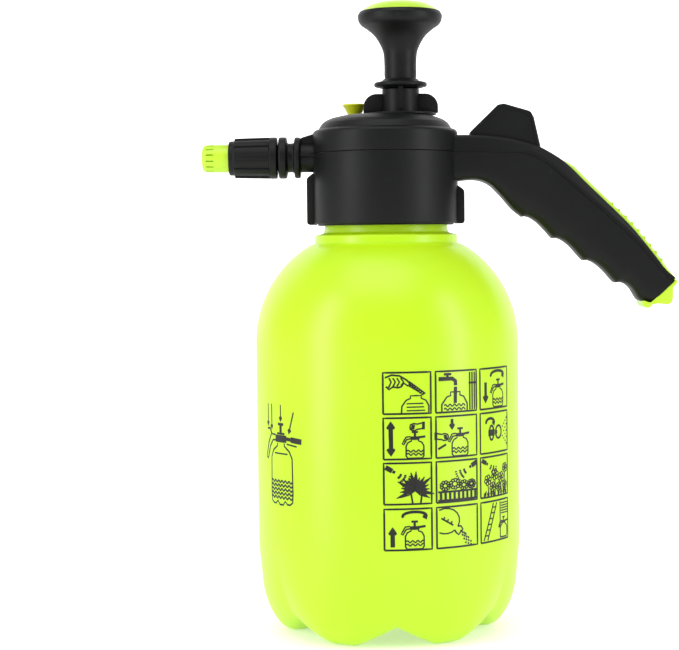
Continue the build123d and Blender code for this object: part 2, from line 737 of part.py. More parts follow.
# ------------------------------------------------------------------ valve and lever
def make_valve_body():
    body = tube(valve_r, 0, valve_z, valve_top_z, valve_x)
    block = Box(8.0, hose_gap + 4.0, 8.0, align=(Align.MIN, Align.CENTER, Align.MAX))
    body += Pos(valve_inlet_x, 0, valve_top_z) * block
    body -= tube(valve_bore_r, 0, valve_z + valve_floor, valve_top_z + 1, valve_x)
    for side, depth in ((-1, -9.8), (1, -4.0)):
        tip = (valve_inlet_x - barb_len, side * hose_side_y, hose_z)
        inside = (valve_inlet_x + 2.5, side * hose_side_y, hose_z)
        body += rod_between(tip, inside, hose_bore_r - barb_fit)
        body -= rod_between((tip[0] - 1, tip[1], tip[2]), inside, duct_r)
        body -= rod_between(inside, (valve_x, 0, hose_z + depth), duct_r)
    return body


def make_valve_gland():
    return tube(valve_r, stem_r + run_fit, valve_top_z, valve_top_z + gland_t, valve_x)


def make_valve_stem():
    shoulder = valve_top_z - 0.1
    stem = tube(valve_bore_r - 0.2, 0, stem_foot_z, shoulder, valve_x)
    stem += tube(stem_r, 0, stem_foot_z, stem_top_z, valve_x)
    for level in stem_ring_levels():
        stem -= tube(valve_bore_r + 1, valve_bore_r - 1.0, level, level + stem_ring_t, valve_x)
    return stem


def stem_ring_levels():
    return (stem_foot_z + 1.0, stem_foot_z + 7.0)


def make_stem_rings():
    rings = [tube(valve_bore_r - 0.04, valve_bore_r - 1.0, level + push_fit, level + stem_ring_t - push_fit, valve_x)
             for level in stem_ring_levels()]
    return Compound(rings)


def coil_spring(x, y, low, high, turns):
    """A coil spring between two levels."""
    rise = high - low - 2 * spring_wire_r
    path = Helix(rise / turns, rise, spring_r)
    section = Plane(origin=(spring_r, 0, 0), z_dir=(0, 1, 0)) * Circle(spring_wire_r)
    return Pos(x, y, low + spring_wire_r) * sweep(section, path=path, is_frenet=True)


def make_valve_spring():
    return coil_spring(valve_x, 0, valve_z + valve_floor + 0.05, stem_foot_z - 0.05, valve_spring_turns)


def make_trigger_pin():
    return rod_between((pin_x, -pin_half, pin_z), (pin_x, pin_half, pin_z), pin_r)


def lever_outline(inset):
    """Side view of the lever; the inset draws a wall inside it and opens it downwards."""
    x = pin_x
    z = pin_z
    w = inset
    foot = z - 2.2 - w * 4
    return Polyline((x - 1.1 + w * 1.3, foot), (x - 1.1 + w * 1.3, z + 4.7 - w * 0.6),
                    (x + 11.4 + w * 0.5, z + 18.1 - w * 1.2), (x + 15.2, z + 19.3 - w),
                    (x + 27.2 - w * 0.5, z + 15.7 - w * 1.1), (x + 29.1 - w, z + 13.8 - w * 0.8),
                    (x + 33.0 - w, z - 4.0 - w * 4), close=True)


def make_trigger_lever():
    shape = extrude(Plane.XZ * make_face(lever_outline(0)), amount=lever_w / 2, both=True)
    hollow = extrude(Plane.XZ * make_face(lever_outline(lever_wall)), amount=lever_w / 2 - lever_wall, both=True)
    lever = shape - hollow
    lever += rod_between((pin_x, -lever_w / 2, pin_z), (pin_x, lever_w / 2, pin_z), hub_r)
    post = tube(hub_r, 0, stem_top_z + post_gap, pin_z + 17.0, valve_x)
    lever += post & shape
    return lever - rod_between((pin_x, -lever_w, pin_z), (pin_x, lever_w, pin_z), pin_r + run_fit)


# ------------------------------------------------------------------ nozzle
def make_nozzle_spigot():
    inner_x = elbow_x + 4.0
    wall_x = -skirt_r + 0.8
    spigot = rod_between((wall_x, 0, nozzle_z), (sleeve_rear + 0.6, 0, nozzle_z), barrel_r)
    spigot += rod_between((inner_x, 0, nozzle_z), (wall_x, 0, nozzle_z), inner_barrel_r)
    spigot += rod_between((sleeve_rear + 1.0, 0, nozzle_z), (spigot_tip_x, 0, nozzle_z), spigot_r)
    front_ring = (-collar_r - ring_out, ring_w)
    rear_ring = (sleeve_rear + rear_ring_gap + rear_ring_w, rear_ring_w)
    for back, width in (front_ring, rear_ring):
        spigot += rod_between((back - width, 0, nozzle_z), (back, 0, nozzle_z), ring_r)
    spigot += Pos(-skirt_r + 2.2, 0, nozzle_z) * Box(1.4, 2 * barrel_r + 2.0, 6.0)
    spigot += rod_between((elbow_x, 0, hose_z), (elbow_x, spigot_side + barb_len, hose_z), hose_bore_r - barb_fit)
    spigot += rod_between((elbow_x, 0, hose_z), (elbow_x, spigot_side, hose_z), 2.4)
    spigot -= rod_between((elbow_x, 0, hose_z), (elbow_x, spigot_side + barb_len + 1, hose_z), duct_r)
    spigot -= rod_between((elbow_x, 0, nozzle_z), (spigot_tip_x - 1, 0, nozzle_z), spigot_bore_r)
    spigot -= rod_between((elbow_x, 0, hose_z), (elbow_x, 0, nozzle_z), duct_r)
    groove_end = ring_groove_x - o_ring_t
    groove = rod_between((ring_groove_x, 0, nozzle_z), (groove_end, 0, nozzle_z), spigot_r + 1)
    groove -= rod_between((ring_groove_x, 0, nozzle_z), (groove_end, 0, nozzle_z), spigot_r - 1.3)
    return spigot - groove


def make_nozzle_o_ring():
    start = (ring_groove_x - push_fit, 0, nozzle_z)
    end = (ring_groove_x - o_ring_t + push_fit, 0, nozzle_z)
    return rod_between(start, end, spigot_r - push_fit) - rod_between(start, end, spigot_r - 1.3 + push_fit)


def make_swirl_insert():
    """Small slotted plug ahead of the spigot, pushed along by the tip."""
    front = tip_front + 3.2
    plug = rod_between((front, 0, nozzle_z), (spigot_tip_x - slip_fit, 0, nozzle_z), swirl_r)
    plug += rod_between((spigot_tip_x - 1.0, 0, nozzle_z), (spigot_tip_x + 5.0, 0, nozzle_z), swirl_pin_r)
    for side in (-1, 1):
        plug -= Pos(front + 2.0, side * (swirl_r - 0.2), nozzle_z) * Box(4.2, 1.2, 0.8)
    return plug


def make_nozzle_sleeve():
    cone = Pos(sleeve_rear, 0, nozzle_z) * Rot(0, -90, 0) * Cone(
        sleeve_rear_r - groove_t, sleeve_front_r - groove_t, sleeve_len, align=(Align.CENTER, Align.CENTER, Align.MIN))
    cone += rod_between((sleeve_rear, 0, nozzle_z), (sleeve_rear - 3.5, 0, nozzle_z), sleeve_rear_r)
    envelope = Pos(sleeve_rear, 0, nozzle_z) * Rot(0, -90, 0) * Cone(
        sleeve_rear_r, sleeve_front_r, sleeve_len, align=(Align.CENTER, Align.CENTER, Align.MIN))
    for i in range(sleeve_ribs):
        angle = 360 / sleeve_ribs * i
        rib = Box(sleeve_len, rib_w, sleeve_rear_r, align=(Align.MAX, Align.CENTER, Align.MIN))
        rib = Pos(sleeve_rear, 0, nozzle_z) * Rot(angle, 0, 0) * rib
        cone += rib & envelope
    cone -= rod_between((sleeve_rear + 1, 0, nozzle_z), (sleeve_front - 1, 0, nozzle_z), spigot_r + run_fit)
    return cone


def make_nozzle_tip():
    body = rod_between((sleeve_front, 0, nozzle_z), (tip_front, 0, nozzle_z), tip_r)
    face_edge = body.edges().filter_by(GeomType.CIRCLE).sort_by(Axis.X)[0]
    body = fillet(face_edge, tip_round)
    body -= rod_between((sleeve_front + 1, 0, nozzle_z), (spigot_tip_x - 0.5, 0, nozzle_z), spigot_r + run_fit)
    body -= rod_between((spigot_tip_x, 0, nozzle_z), (tip_front + 3.0, 0, nozzle_z), swirl_r + slip_fit)
    body -= rod_between((tip_front - 1, 0, nozzle_z), (tip_front + 4, 0, nozzle_z), orifice_r)
    return body


# ------------------------------------------------------------------ relief valve
def make_relief_knob():
    seat = deck_top_z
    collar_low = seat + relief_seal_t
    shaft = tube(relief_stem_r, 0, collar_low, dome_z + 0.5, relief_x, relief_y)
    shaft += tube(relief_foot_r, 0, collar_low, collar_low + relief_foot_t, relief_x, relief_y)
    funnel = Pos(relief_x, relief_y, dome_z + 0.2) * Cone(
        relief_knob_r * 0.55, relief_knob_r, relief_knob_h - 1.0, align=(Align.CENTER, Align.CENTER, Align.MIN))
    brim = tube(relief_knob_r, 0, dome_z + relief_knob_h - 0.9, dome_z + relief_knob_h, relief_x, relief_y)
    return shaft + funnel + brim


def make_relief_seal():
    return tube(relief_foot_r - 0.1, 0, deck_top_z + push_fit, deck_top_z + relief_seal_t - push_fit, relief_x, relief_y)


def make_relief_spring():
    low = deck_top_z + relief_seal_t + relief_foot_t + 0.05
    return coil_spring(relief_x, relief_y, low, dome_z - 5.55, relief_spring_turns)


def save(shape, node):
    export_step(shape, f"parts/{node}.step")


def main():
    head = make_head_shell()
    below = seam_cutter()
    handle_solid = extrude(Plane.XZ * make_face(handle_outline()), amount=handle_w / 2, both=True)
    lower = make_lower_shell(head, below, handle_solid)
    upper = make_upper_shell(head, below, lower, handle_solid)
    grip = make_grip_insert(handle_solid)
    save(make_bottle(), "bottle")
    save(make_gasket(), "neck_gasket")
    save(lower, "lower_shell")
    save(upper, "upper_shell")
    save(grip, "grip_insert")
    save(make_end_cap(grip, handle_solid), "handle_end_cap")
    save(make_screws(), "shell_screws")
    save(make_pump_cylinder(), "pump_cylinder")
    save(make_cylinder_seal(), "cylinder_seal")
    save(make_rod_guide(), "rod_guide")
    save(make_check_valve(), "check_valve")
    save(make_pump_cap(), "pump_cap")
    save(make_pump_rod(), "pump_rod")
    save(make_piston(), "piston")
    save(make_piston_seal(), "piston_seal")
    save(make_piston_screw(), "piston_screw")
    save(make_pump_knob(), "pump_knob")
    save(make_knob_cap(), "knob_cap")
    save(make_dip_tube(), "dip_tube")
    save(make_dip_strainer(), "dip_strainer")
    save(make_tube_elbow(), "tube_elbow")
    save(make_feed_hose(), "feed_hose")
    save(make_delivery_hose(), "delivery_hose")
    save(make_valve_body(), "valve_body")
    save(make_valve_gland(), "valve_gland")
    save(make_valve_stem(), "valve_stem")
    save(make_stem_rings(), "stem_o_rings")
    save(make_valve_spring(), "valve_spring")
    save(make_trigger_pin(), "trigger_pin")
    save(make_trigger_lever(), "trigger_lever")
    save(make_nozzle_spigot(), "nozzle_spigot")
    save(make_nozzle_o_ring(), "nozzle_o_ring")
    save(make_swirl_insert(), "swirl_insert")
    save(make_nozzle_sleeve(), "nozzle_sleeve")
    save(make_nozzle_tip(), "nozzle_tip")
    save(make_relief_knob(), "relief_knob")
    save(make_relief_seal(), "relief_seal")
    save(make_relief_spring(), "relief_spring")


main()
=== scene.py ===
import json
import math

import bmesh
import bpy
from mathutils import Matrix, Vector


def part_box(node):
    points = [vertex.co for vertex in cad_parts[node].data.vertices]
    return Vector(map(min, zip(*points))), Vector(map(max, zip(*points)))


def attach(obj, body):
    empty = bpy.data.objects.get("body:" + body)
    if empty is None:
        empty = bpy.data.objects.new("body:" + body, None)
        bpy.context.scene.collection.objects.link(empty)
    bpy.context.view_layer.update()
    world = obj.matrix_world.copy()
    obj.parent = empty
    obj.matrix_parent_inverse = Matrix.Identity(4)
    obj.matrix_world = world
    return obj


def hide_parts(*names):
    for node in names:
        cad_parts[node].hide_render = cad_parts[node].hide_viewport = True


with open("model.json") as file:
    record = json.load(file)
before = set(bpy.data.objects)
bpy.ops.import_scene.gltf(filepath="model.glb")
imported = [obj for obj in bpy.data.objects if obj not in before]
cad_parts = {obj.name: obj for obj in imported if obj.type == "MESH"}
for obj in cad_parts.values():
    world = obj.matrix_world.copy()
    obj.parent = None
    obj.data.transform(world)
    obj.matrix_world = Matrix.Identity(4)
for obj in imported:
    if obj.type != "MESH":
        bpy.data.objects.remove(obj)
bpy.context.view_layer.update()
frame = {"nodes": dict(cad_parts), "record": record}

MM = 0.001
NODES = frame["nodes"]


# ---- node trees written as expressions
class Wire:
    """A number that flows through a node tree. Arithmetic on it adds Math nodes."""

    def __init__(self, graph, socket):
        self.graph = graph
        self.socket = socket

    def math(self, operation, *others):
        sockets = dict(enumerate((self,) + others))
        return self.graph.node("ShaderNodeMath", {"operation": operation}, sockets)

    def __add__(self, other):
        return self.math("ADD", other)

    def __sub__(self, other):
        return self.math("SUBTRACT", other)

    def __mul__(self, other):
        return self.math("MULTIPLY", other)

    def __truediv__(self, other):
        return self.math("DIVIDE", other)

    def __rsub__(self, other):
        return self.graph.node("ShaderNodeMath", {"operation": "SUBTRACT"}, {0: other, 1: self})

    __radd__ = __add__
    __rmul__ = __mul__

    def clamp(self, low=0.0, high=1.0):
        return self.math("MAXIMUM", low).math("MINIMUM", high)

    def stretch(self, low, high):
        """0 at low, 1 at high, held outside them."""
        return ((self - low) / (high - low)).clamp()


class Graph:
    """Adds nodes to one shader or geometry tree."""

    def __init__(self, tree):
        self.tree = tree

    def node(self, kind, settings=None, sockets=None, out=0):
        made = self.tree.nodes.new(kind)
        for key, value in (settings or {}).items():
            setattr(made, key, value)
        for key, value in (sockets or {}).items():
            if isinstance(value, Wire):
                self.tree.links.new(value.socket, made.inputs[key])
            else:
                made.inputs[key].default_value = value
        return Wire(self, made.outputs[out]) if len(made.outputs) else made

    def mix(self, amount, first, second):
        """A colour between two colours."""
        sockets = {0: amount, 6: first, 7: second}
        return self.node("ShaderNodeMix", {"data_type": "RGBA"}, sockets, 2)

    def noise(self, where, scale, detail=2.0, roughness=0.5):
        sockets = {"Vector": where, "Scale": scale, "Detail": detail, "Roughness": roughness}
        return self.node("ShaderNodeTexNoise", None, sockets, "Fac")

    def bump(self, height, strength, distance, normal=None):
        sockets = {"Height": height, "Strength": strength, "Distance": distance}
        if normal is not None:
            sockets["Normal"] = normal
        return self.node("ShaderNodeBump", None, sockets)


def linear(red, green, blue):
    """A screen colour, 0 to 255, as the renderer's own."""
    values = []
    for part in (red, green, blue):
        part = part / 255
        values.append(part / 12.92 if part <= 0.04045 else ((part + 0.055) / 1.055) ** 2.4)
    return (*values, 1.0)


def finish_material(name, build, **uniform):
    """A Principled material: uniform settings on its sockets, and what build() returns linked to them."""
    material = bpy.data.materials.new(name)
    material.use_nodes = True
    tree = material.node_tree
    tree.nodes.clear()
    graph = Graph(tree)
    shader = tree.nodes.new("ShaderNodeBsdfPrincipled")
    output = tree.nodes.new("ShaderNodeOutputMaterial")
    tree.links.new(shader.outputs[0], output.inputs["Surface"])
    for key, value in uniform.items():
        shader.inputs[key.replace("_", " ")].default_value = value
    where = graph.node("ShaderNodeTexCoord", None, None, "Object")
    for key, value in build(graph, where).items():
        tree.links.new(value.socket, shader.inputs[key])
    return material


LIME = linear(187, 231, 14)
LIME_PALE = linear(193, 235, 30)
# painted shade: a darker lime laid on the bottle's neck where the head above shades it
LIME_PAINTED_SHADE = linear(168, 214, 10)


def bottle_look(graph, where):
    clouds = graph.noise(where, 14.0, 3.0)
    fine = graph.noise(where, 320.0, 2.0)
    height = graph.node("ShaderNodeSeparateXYZ", None, {0: where}, "Z")
    # painted shade: the top of the bottle is darkened towards the darker lime as though shaded by the head,
    # starting 190 mm up and full from 200 mm
    neck_shade_mask = height.stretch(0.19, 0.2)
    colour = graph.mix(clouds.stretch(0.35, 0.75), LIME, LIME_PALE)
    colour = graph.mix(neck_shade_mask * 0.8, colour, LIME_PAINTED_SHADE)
    rough = 0.3 + 0.1 * clouds
    wave = graph.noise(where, 26.0, 1.0)
    normal = graph.bump(wave, 0.25, 0.0012)
    normal = graph.bump(fine, 0.12, 0.00015, normal)
    return {"Base Color": colour, "Roughness": rough, "Normal": normal}


def black_look(graph, where):
    clouds = graph.noise(where, 45.0, 3.0)
    grain = graph.noise(where, 2600.0, 2.0, 0.6)
    scuffs = graph.noise(where, 160.0, 6.0, 0.7)
    colour = graph.mix(clouds, linear(5, 6, 6), linear(11, 12, 12))
    colour = graph.mix(scuffs.stretch(0.62, 0.8) * 0.35, colour, linear(50, 51, 52))
    rough = 0.36 + 0.12 * clouds + 0.1 * scuffs
    return {"Base Color": colour, "Roughness": rough, "Normal": graph.bump(grain, 0.35, 0.00006)}


def lime_gloss_look(graph, where):
    clouds = graph.noise(where, 60.0, 2.0)
    grain = graph.noise(where, 900.0, 1.0)
    colour = graph.mix(clouds, linear(180, 222, 40), linear(192, 230, 56))
    return {"Base Color": colour, "Roughness": 0.26 + 0.1 * clouds, "Normal": graph.bump(grain, 0.1, 0.0001)}


def lime_grip_look(graph, where):
    grain = graph.noise(where, 1800.0, 3.0, 0.6)
    clouds = graph.noise(where, 70.0, 2.0)
    colour = graph.mix(clouds, linear(176, 220, 40), linear(188, 228, 54))
    return {"Base Color": colour, "Roughness": 0.5 + 0.12 * grain, "Normal": graph.bump(grain, 0.5, 0.0001)}


def cloudy(scale, detail, spread, tones, rough, relief):
    """A look of two tones in clouds, with the roughness and a fine relief following the same clouds."""
    def look(graph, where):
        clouds = graph.noise(where, scale, detail, spread)
        colour = graph.mix(clouds, linear(*tones[0]), linear(*tones[1]))
        return {"Base Color": colour, "Roughness": rough[0] + rough[1] * clouds,
                "Normal": graph.bump(clouds, *relief)}
    return look


def paper_look(graph, where):
    clouds = graph.noise(where, 3.0, 2.0)
    colour = graph.mix(clouds, (0.9, 0.9, 0.9, 1), (0.93, 0.93, 0.93, 1))
    return {"Base Color": colour, "Roughness": 0.6 + 0.1 * clouds}


BOTTLE = finish_material("bottle_plastic", bottle_look, Subsurface_Weight=0.2, Subsurface_Scale=0.006,
                         Subsurface_Radius=(1.0, 1.0, 0.3))
BLACK = finish_material("black_plastic", black_look, Specular_IOR_Level=0.24)
GLOSS_LIME = finish_material("lime_plastic", lime_gloss_look, Subsurface_Weight=0.1, Subsurface_Scale=0.002)
GRIP_LIME = finish_material("lime_grip", lime_grip_look)
RELIEF_LIME = finish_material("relief_plastic", cloudy(
    120.0, 2.0, 0.5, ((196, 207, 19), (214, 222, 38)), (0.3, 0.1), (0.1, 0.0002)))
NATURAL = finish_material("natural_plastic", cloudy(
    80.0, 3.0, 0.5, ((222, 224, 216), (236, 237, 231)), (0.35, 0.12), (0.2, 0.0002)),
    Subsurface_Weight=0.1, Subsurface_Scale=0.002)
HOSE = finish_material("hose_rubber", cloudy(
    150.0, 3.0, 0.5, ((206, 208, 200), (224, 225, 218)), (0.4, 0.15), (0.2, 0.0001)))
RUBBER = finish_material("seal_rubber", cloudy(
    1500.0, 3.0, 0.6, ((24, 24, 25), (44, 44, 45)), (0.6, 0.2), (0.4, 0.0001)))
STEEL = finish_material("bright_steel", cloudy(
    1200.0, 4.0, 0.7, ((170, 172, 176), (206, 207, 210)), (0.25, 0.2), (0.15, 0.00005)), Metallic=1.0)
INK = finish_material("print_ink", cloudy(
    300.0, 3.0, 0.5, ((6, 7, 5), (16, 18, 12)), (0.35, 0.2), (0.1, 0.00005)))
WHITE = (1, 1, 1, 1)
FLOOR = finish_material("floor", paper_look, Emission_Color=WHITE, Emission_Strength=0.32)
BACKDROP = finish_material("backdrop", paper_look, Emission_Color=WHITE, Emission_Strength=1.0)

SLOT_LOOKS = {
    "bottle_plastic": BOTTLE, "black_plastic": BLACK, "lime_plastic": GLOSS_LIME, "lime_grip": GRIP_LIME,
    "natural_plastic": NATURAL, "hose_rubber": HOSE, "seal_rubber": RUBBER, "screw_steel": STEEL,
    "spring_steel": STEEL,
}


# ---- places taken from the frame
bottle_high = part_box("bottle")[1]
upper_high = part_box("upper_shell")[1]
knob_low, knob_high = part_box("pump_knob")
rod_low, rod_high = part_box("pump_rod")
tip_low, tip_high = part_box("nozzle_tip")
sleeve_low, sleeve_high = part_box("nozzle_sleeve")
pin_low, pin_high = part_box("trigger_pin")
relief_low, relief_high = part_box("relief_knob")

bottle_r = bottle_high.x
neck_top = bottle_high.z
pump_x = (rod_low.x + rod_high.x) / 2
nozzle_z = (tip_low.z + tip_high.z) / 2
pin_x = (pin_low.x + pin_high.x) / 2
pin_z = (pin_low.z + pin_high.z) / 2
relief_x = (relief_low.x + relief_high.x) / 2
relief_y = (relief_low.y + relief_high.y) / 2
GASKET_PLAY = 0.02 * MM
SKIRT_DROP = 25.6 * MM
deck_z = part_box("neck_gasket")[1].z + GASKET_PLAY
collar_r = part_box("lower_shell")[1].y
skirt_low = deck_z - SKIRT_DROP


# ---- mesh helpers
def mesh_object(name, verts, faces, material, sharp=38):
    """A piece from points and faces, smooth except where it turns sharply."""
    mesh = bpy.data.meshes.new(name)
    mesh.from_pydata([tuple(v) for v in verts], [], faces)
    obj = bpy.data.objects.new(name, mesh)
    bpy.context.scene.collection.objects.link(obj)
    dress(obj, material, sharp)
    return obj


def dress(obj, material, sharp=38):
    """One material, outward normals, and sharp edges marked by their angle."""
    mesh = obj.data
    work = bmesh.new()
    work.from_mesh(mesh)
    bmesh.ops.remove_doubles(work, verts=work.verts, dist=1e-7)
    bmesh.ops.recalc_face_normals(work, faces=work.faces)
    limit = math.radians(sharp)
    for face in work.faces:
        face.smooth = True
        face.material_index = 0
    for edge in work.edges:
        edge.smooth = len(edge.link_faces) == 2 and edge.calc_face_angle(0) < limit
    work.to_mesh(mesh)
    work.free()
    mesh.materials.clear()
    mesh.materials.append(material)


def bake_modifiers(obj, material, sharp=38):
    """The piece with its modifiers applied."""
    graph = bpy.context.evaluated_depsgraph_get()
    mesh = bpy.data.meshes.new_from_object(obj.evaluated_get(graph))
    obj.modifiers.clear()
    old = obj.data
    obj.data = mesh
    bpy.data.meshes.remove(old)
    dress(obj, material, sharp)
    return obj


def rounded(points, steps=5):
    """An outline whose corners are arcs: each point is (x, y) or (x, y, radius)."""
    out = []
    count = len(points)
    for i, point in enumerate(points):
        radius = point[2] if len(point) > 2 else 0.0
        here = Vector(point[:2])
        if radius <= 0:
            out.append(tuple(here))
            continue
        back = Vector(points[i - 1][:2]) - here
        ahead = Vector(points[(i + 1) % count][:2]) - here
        half = back.angle(ahead) / 2
        reach = min(radius / math.tan(half), back.length * 0.48, ahead.length * 0.48)
        radius = reach * math.tan(half)
        start = here + back.normalized() * reach
        end = here + ahead.normalized() * reach
        centre = here + (back.normalized() + ahead.normalized()).normalized() * (radius / math.sin(half))
        first = start - centre
        turn = first.angle_signed(end - centre)
        for k in range(steps + 1):
            out.append(tuple(centre + Matrix.Rotation(-turn * k / steps, 2) @ first))
    return out


def smooth_line(points, count):
    """Points along a smooth curve through the given ones."""
    ends = [Vector(p) for p in points]
    ends = [2 * ends[0] - ends[1]] + ends + [2 * ends[-1] - ends[-2]]
    out = []
    spans = len(points) - 1
    for k in range(count + 1):
        place = spans * k / count
        i = min(int(place), spans - 1)
        t = place - i
        a, b, c, d = ends[i:i + 4]
        out.append(0.5 * (2 * b + (c - a) * t + (2 * a - 5 * b + 4 * c - d) * t ** 2
                          + (3 * b - a - 3 * c + d) * t ** 3))
    return out


def lathe(name, outline, material, segments=96, centre=(0, 0), axis="Z", level=0.0, sharp=38):
    """A closed outline of (radius, distance) turned about an axis. Points are in millimetres."""
    verts = []
    faces = []
    rows = []
    for radius, along in outline:
        if radius < 1e-6:
            rows.append([len(verts)] * segments)
            verts.append((0, 0, along))
            continue
        rows.append(list(range(len(verts), len(verts) + segments)))
        for k in range(segments):
            angle = 2 * math.pi * k / segments
            verts.append((radius * math.cos(angle), radius * math.sin(angle), along))
    for row, after in zip(rows, rows[1:] + rows[:1]):
        for k in range(segments):
            corner = [row[k], row[(k + 1) % segments], after[(k + 1) % segments], after[k]]
            face = list(dict.fromkeys(corner))
            if len(face) > 2:
                faces.append(face)
    placed = []
    for x, y, z in verts:
        if axis == "Z":
            placed.append((centre[0] + x * MM, centre[1] + y * MM, z * MM))
        else:
            placed.append((z * MM, y * MM, level + x * MM))
    return mesh_object(name, placed, faces, material, sharp)


def slab(name, outline, half_width, material, bevel=0.0, segments=3, middle=0.0):
    """A side view of (x, z) points given a width along Y and rounded edges, all in millimetres."""
    count = len(outline)
    verts = [(x * MM, (middle + side * half_width) * MM, z * MM) for side in (-1, 1) for x, z in outline]
    faces = [list(range(count)), list(range(2 * count - 1, count - 1, -1))]
    faces += [[i, (i + 1) % count, count + (i + 1) % count, count + i] for i in range(count)]
    obj = mesh_object(name, verts, faces, material)
    if bevel:
        edges = obj.modifiers.new("edges", "BEVEL")
        edges.width = bevel * MM
        edges.segments = segments
        edges.limit_method = "ANGLE"
        edges.angle_limit = math.radians(40)
        edges.harden_normals = False
        bake_modifiers(obj, material)
    return obj


def cut(obj, tool, material, sharp=38):
    """Takes a closed tool's space out of a piece, and removes the tool."""
    boolean = obj.modifiers.new("cut", "BOOLEAN")
    boolean.operation = "DIFFERENCE"
    boolean.solver = "EXACT"
    boolean.object = tool
    bake_modifiers(obj, material, sharp)
    bpy.data.objects.remove(tool, do_unlink=True)
    return obj


def join(name, objs, material, sharp=38):
    """Several meshes as one piece."""
    work = bmesh.new()
    for obj in objs:
        work.from_mesh(obj.data)
    mesh = bpy.data.meshes.new(name)
    work.to_mesh(mesh)
    work.free()
    for obj in objs:
        bpy.data.objects.remove(obj, do_unlink=True)
    joined = bpy.data.objects.new(name, mesh)
    bpy.context.scene.collection.objects.link(joined)
    dress(joined, material, sharp)
    return joined


def piece(obj, body, slot, *nodes):
    """Hands a finished piece to its body and hides the nodes that it stands for. Its material slot is not used.
    """
    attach(obj, body)
    if nodes:
        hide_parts(*nodes)
    return obj


# ---- camera, lights and floor
def set_camera():
    distance = 0.87
    seen_w = 0.33271
    dip, roll = math.radians(2.8), math.radians(0.6)
    camera_data = bpy.data.cameras.new("camera")
    camera_data.sensor_width = 36
    camera_data.lens = camera_data.sensor_width * distance / seen_w
    camera_data.shift_x = -0.0699558
    camera = bpy.data.objects.new("camera", camera_data)
    bpy.context.scene.collection.objects.link(camera)
    turn = Matrix.Rotation(math.pi / 2 - dip, 4, "X") @ Matrix.Rotation(-roll, 4, "Z")
    camera.matrix_world = Matrix.Translation((0, -distance, 0.191)) @ turn
    bpy.context.scene.camera = camera


def soft_light(name, place, aim, size, power):
    data = bpy.data.lights.new(name, "AREA")
    data.shape = "RECTANGLE"
    data.size, data.size_y = size
    data.energy = power
    lamp = bpy.data.objects.new(name, data)
    bpy.context.scene.collection.objects.link(lamp)
    way = Vector(aim) - Vector(place)
    lamp.matrix_world = Matrix.Translation(place) @ way.to_track_quat("-Z", "Y").to_matrix().to_4x4()


def set_stage():
    world = bpy.data.worlds.new("studio")
    world.use_nodes = True
    world.node_tree.nodes["Background"].inputs[0].default_value = WHITE
    world.node_tree.nodes["Background"].inputs[1].default_value = 0.46
    bpy.context.scene.world = world
    bpy.context.scene.view_settings.view_transform = "Standard"
    soft_light("left_strip", (-0.62, -0.42, 0.3), (0, 0, 0.2), (0.12, 0.9), 3.4)
    soft_light("right_strip", (0.66, -0.36, 0.3), (0, 0, 0.2), (0.12, 0.9), 3.0)
    soft_light("top_panel", (-0.1, -0.35, 1.1), (0, 0, 0.15), (0.9, 0.7), 4.2)
    reach, behind, tall = 6.0, 4.0, 5.0
    floor = mesh_object("floor", [(-reach, -reach, 0), (reach, -reach, 0), (reach, behind, 0),
                                  (-reach, behind, 0)],
                        [[0, 1, 2, 3]], FLOOR)
    backdrop = mesh_object("backdrop", [(-reach, behind, 0), (reach, behind, 0), (reach, behind, tall),
                                        (-reach, behind, tall)], [[3, 2, 1, 0]], BACKDROP)


set_camera()
set_stage()


# ---- bottle
FOOT_COUNT = 6
FOOT_TURN = math.radians(-26.5 - 90)


def foot_share(angle):
    """1 along the middle of a foot, 0 in the crease between two feet."""
    step = 2 * math.pi / FOOT_COUNT
    off = (angle - FOOT_TURN + step / 2) % step - step / 2
    away = abs(off) / (step / 2)
    return 1 - max(0.0, (away - 0.22) / 0.78) ** 1.2


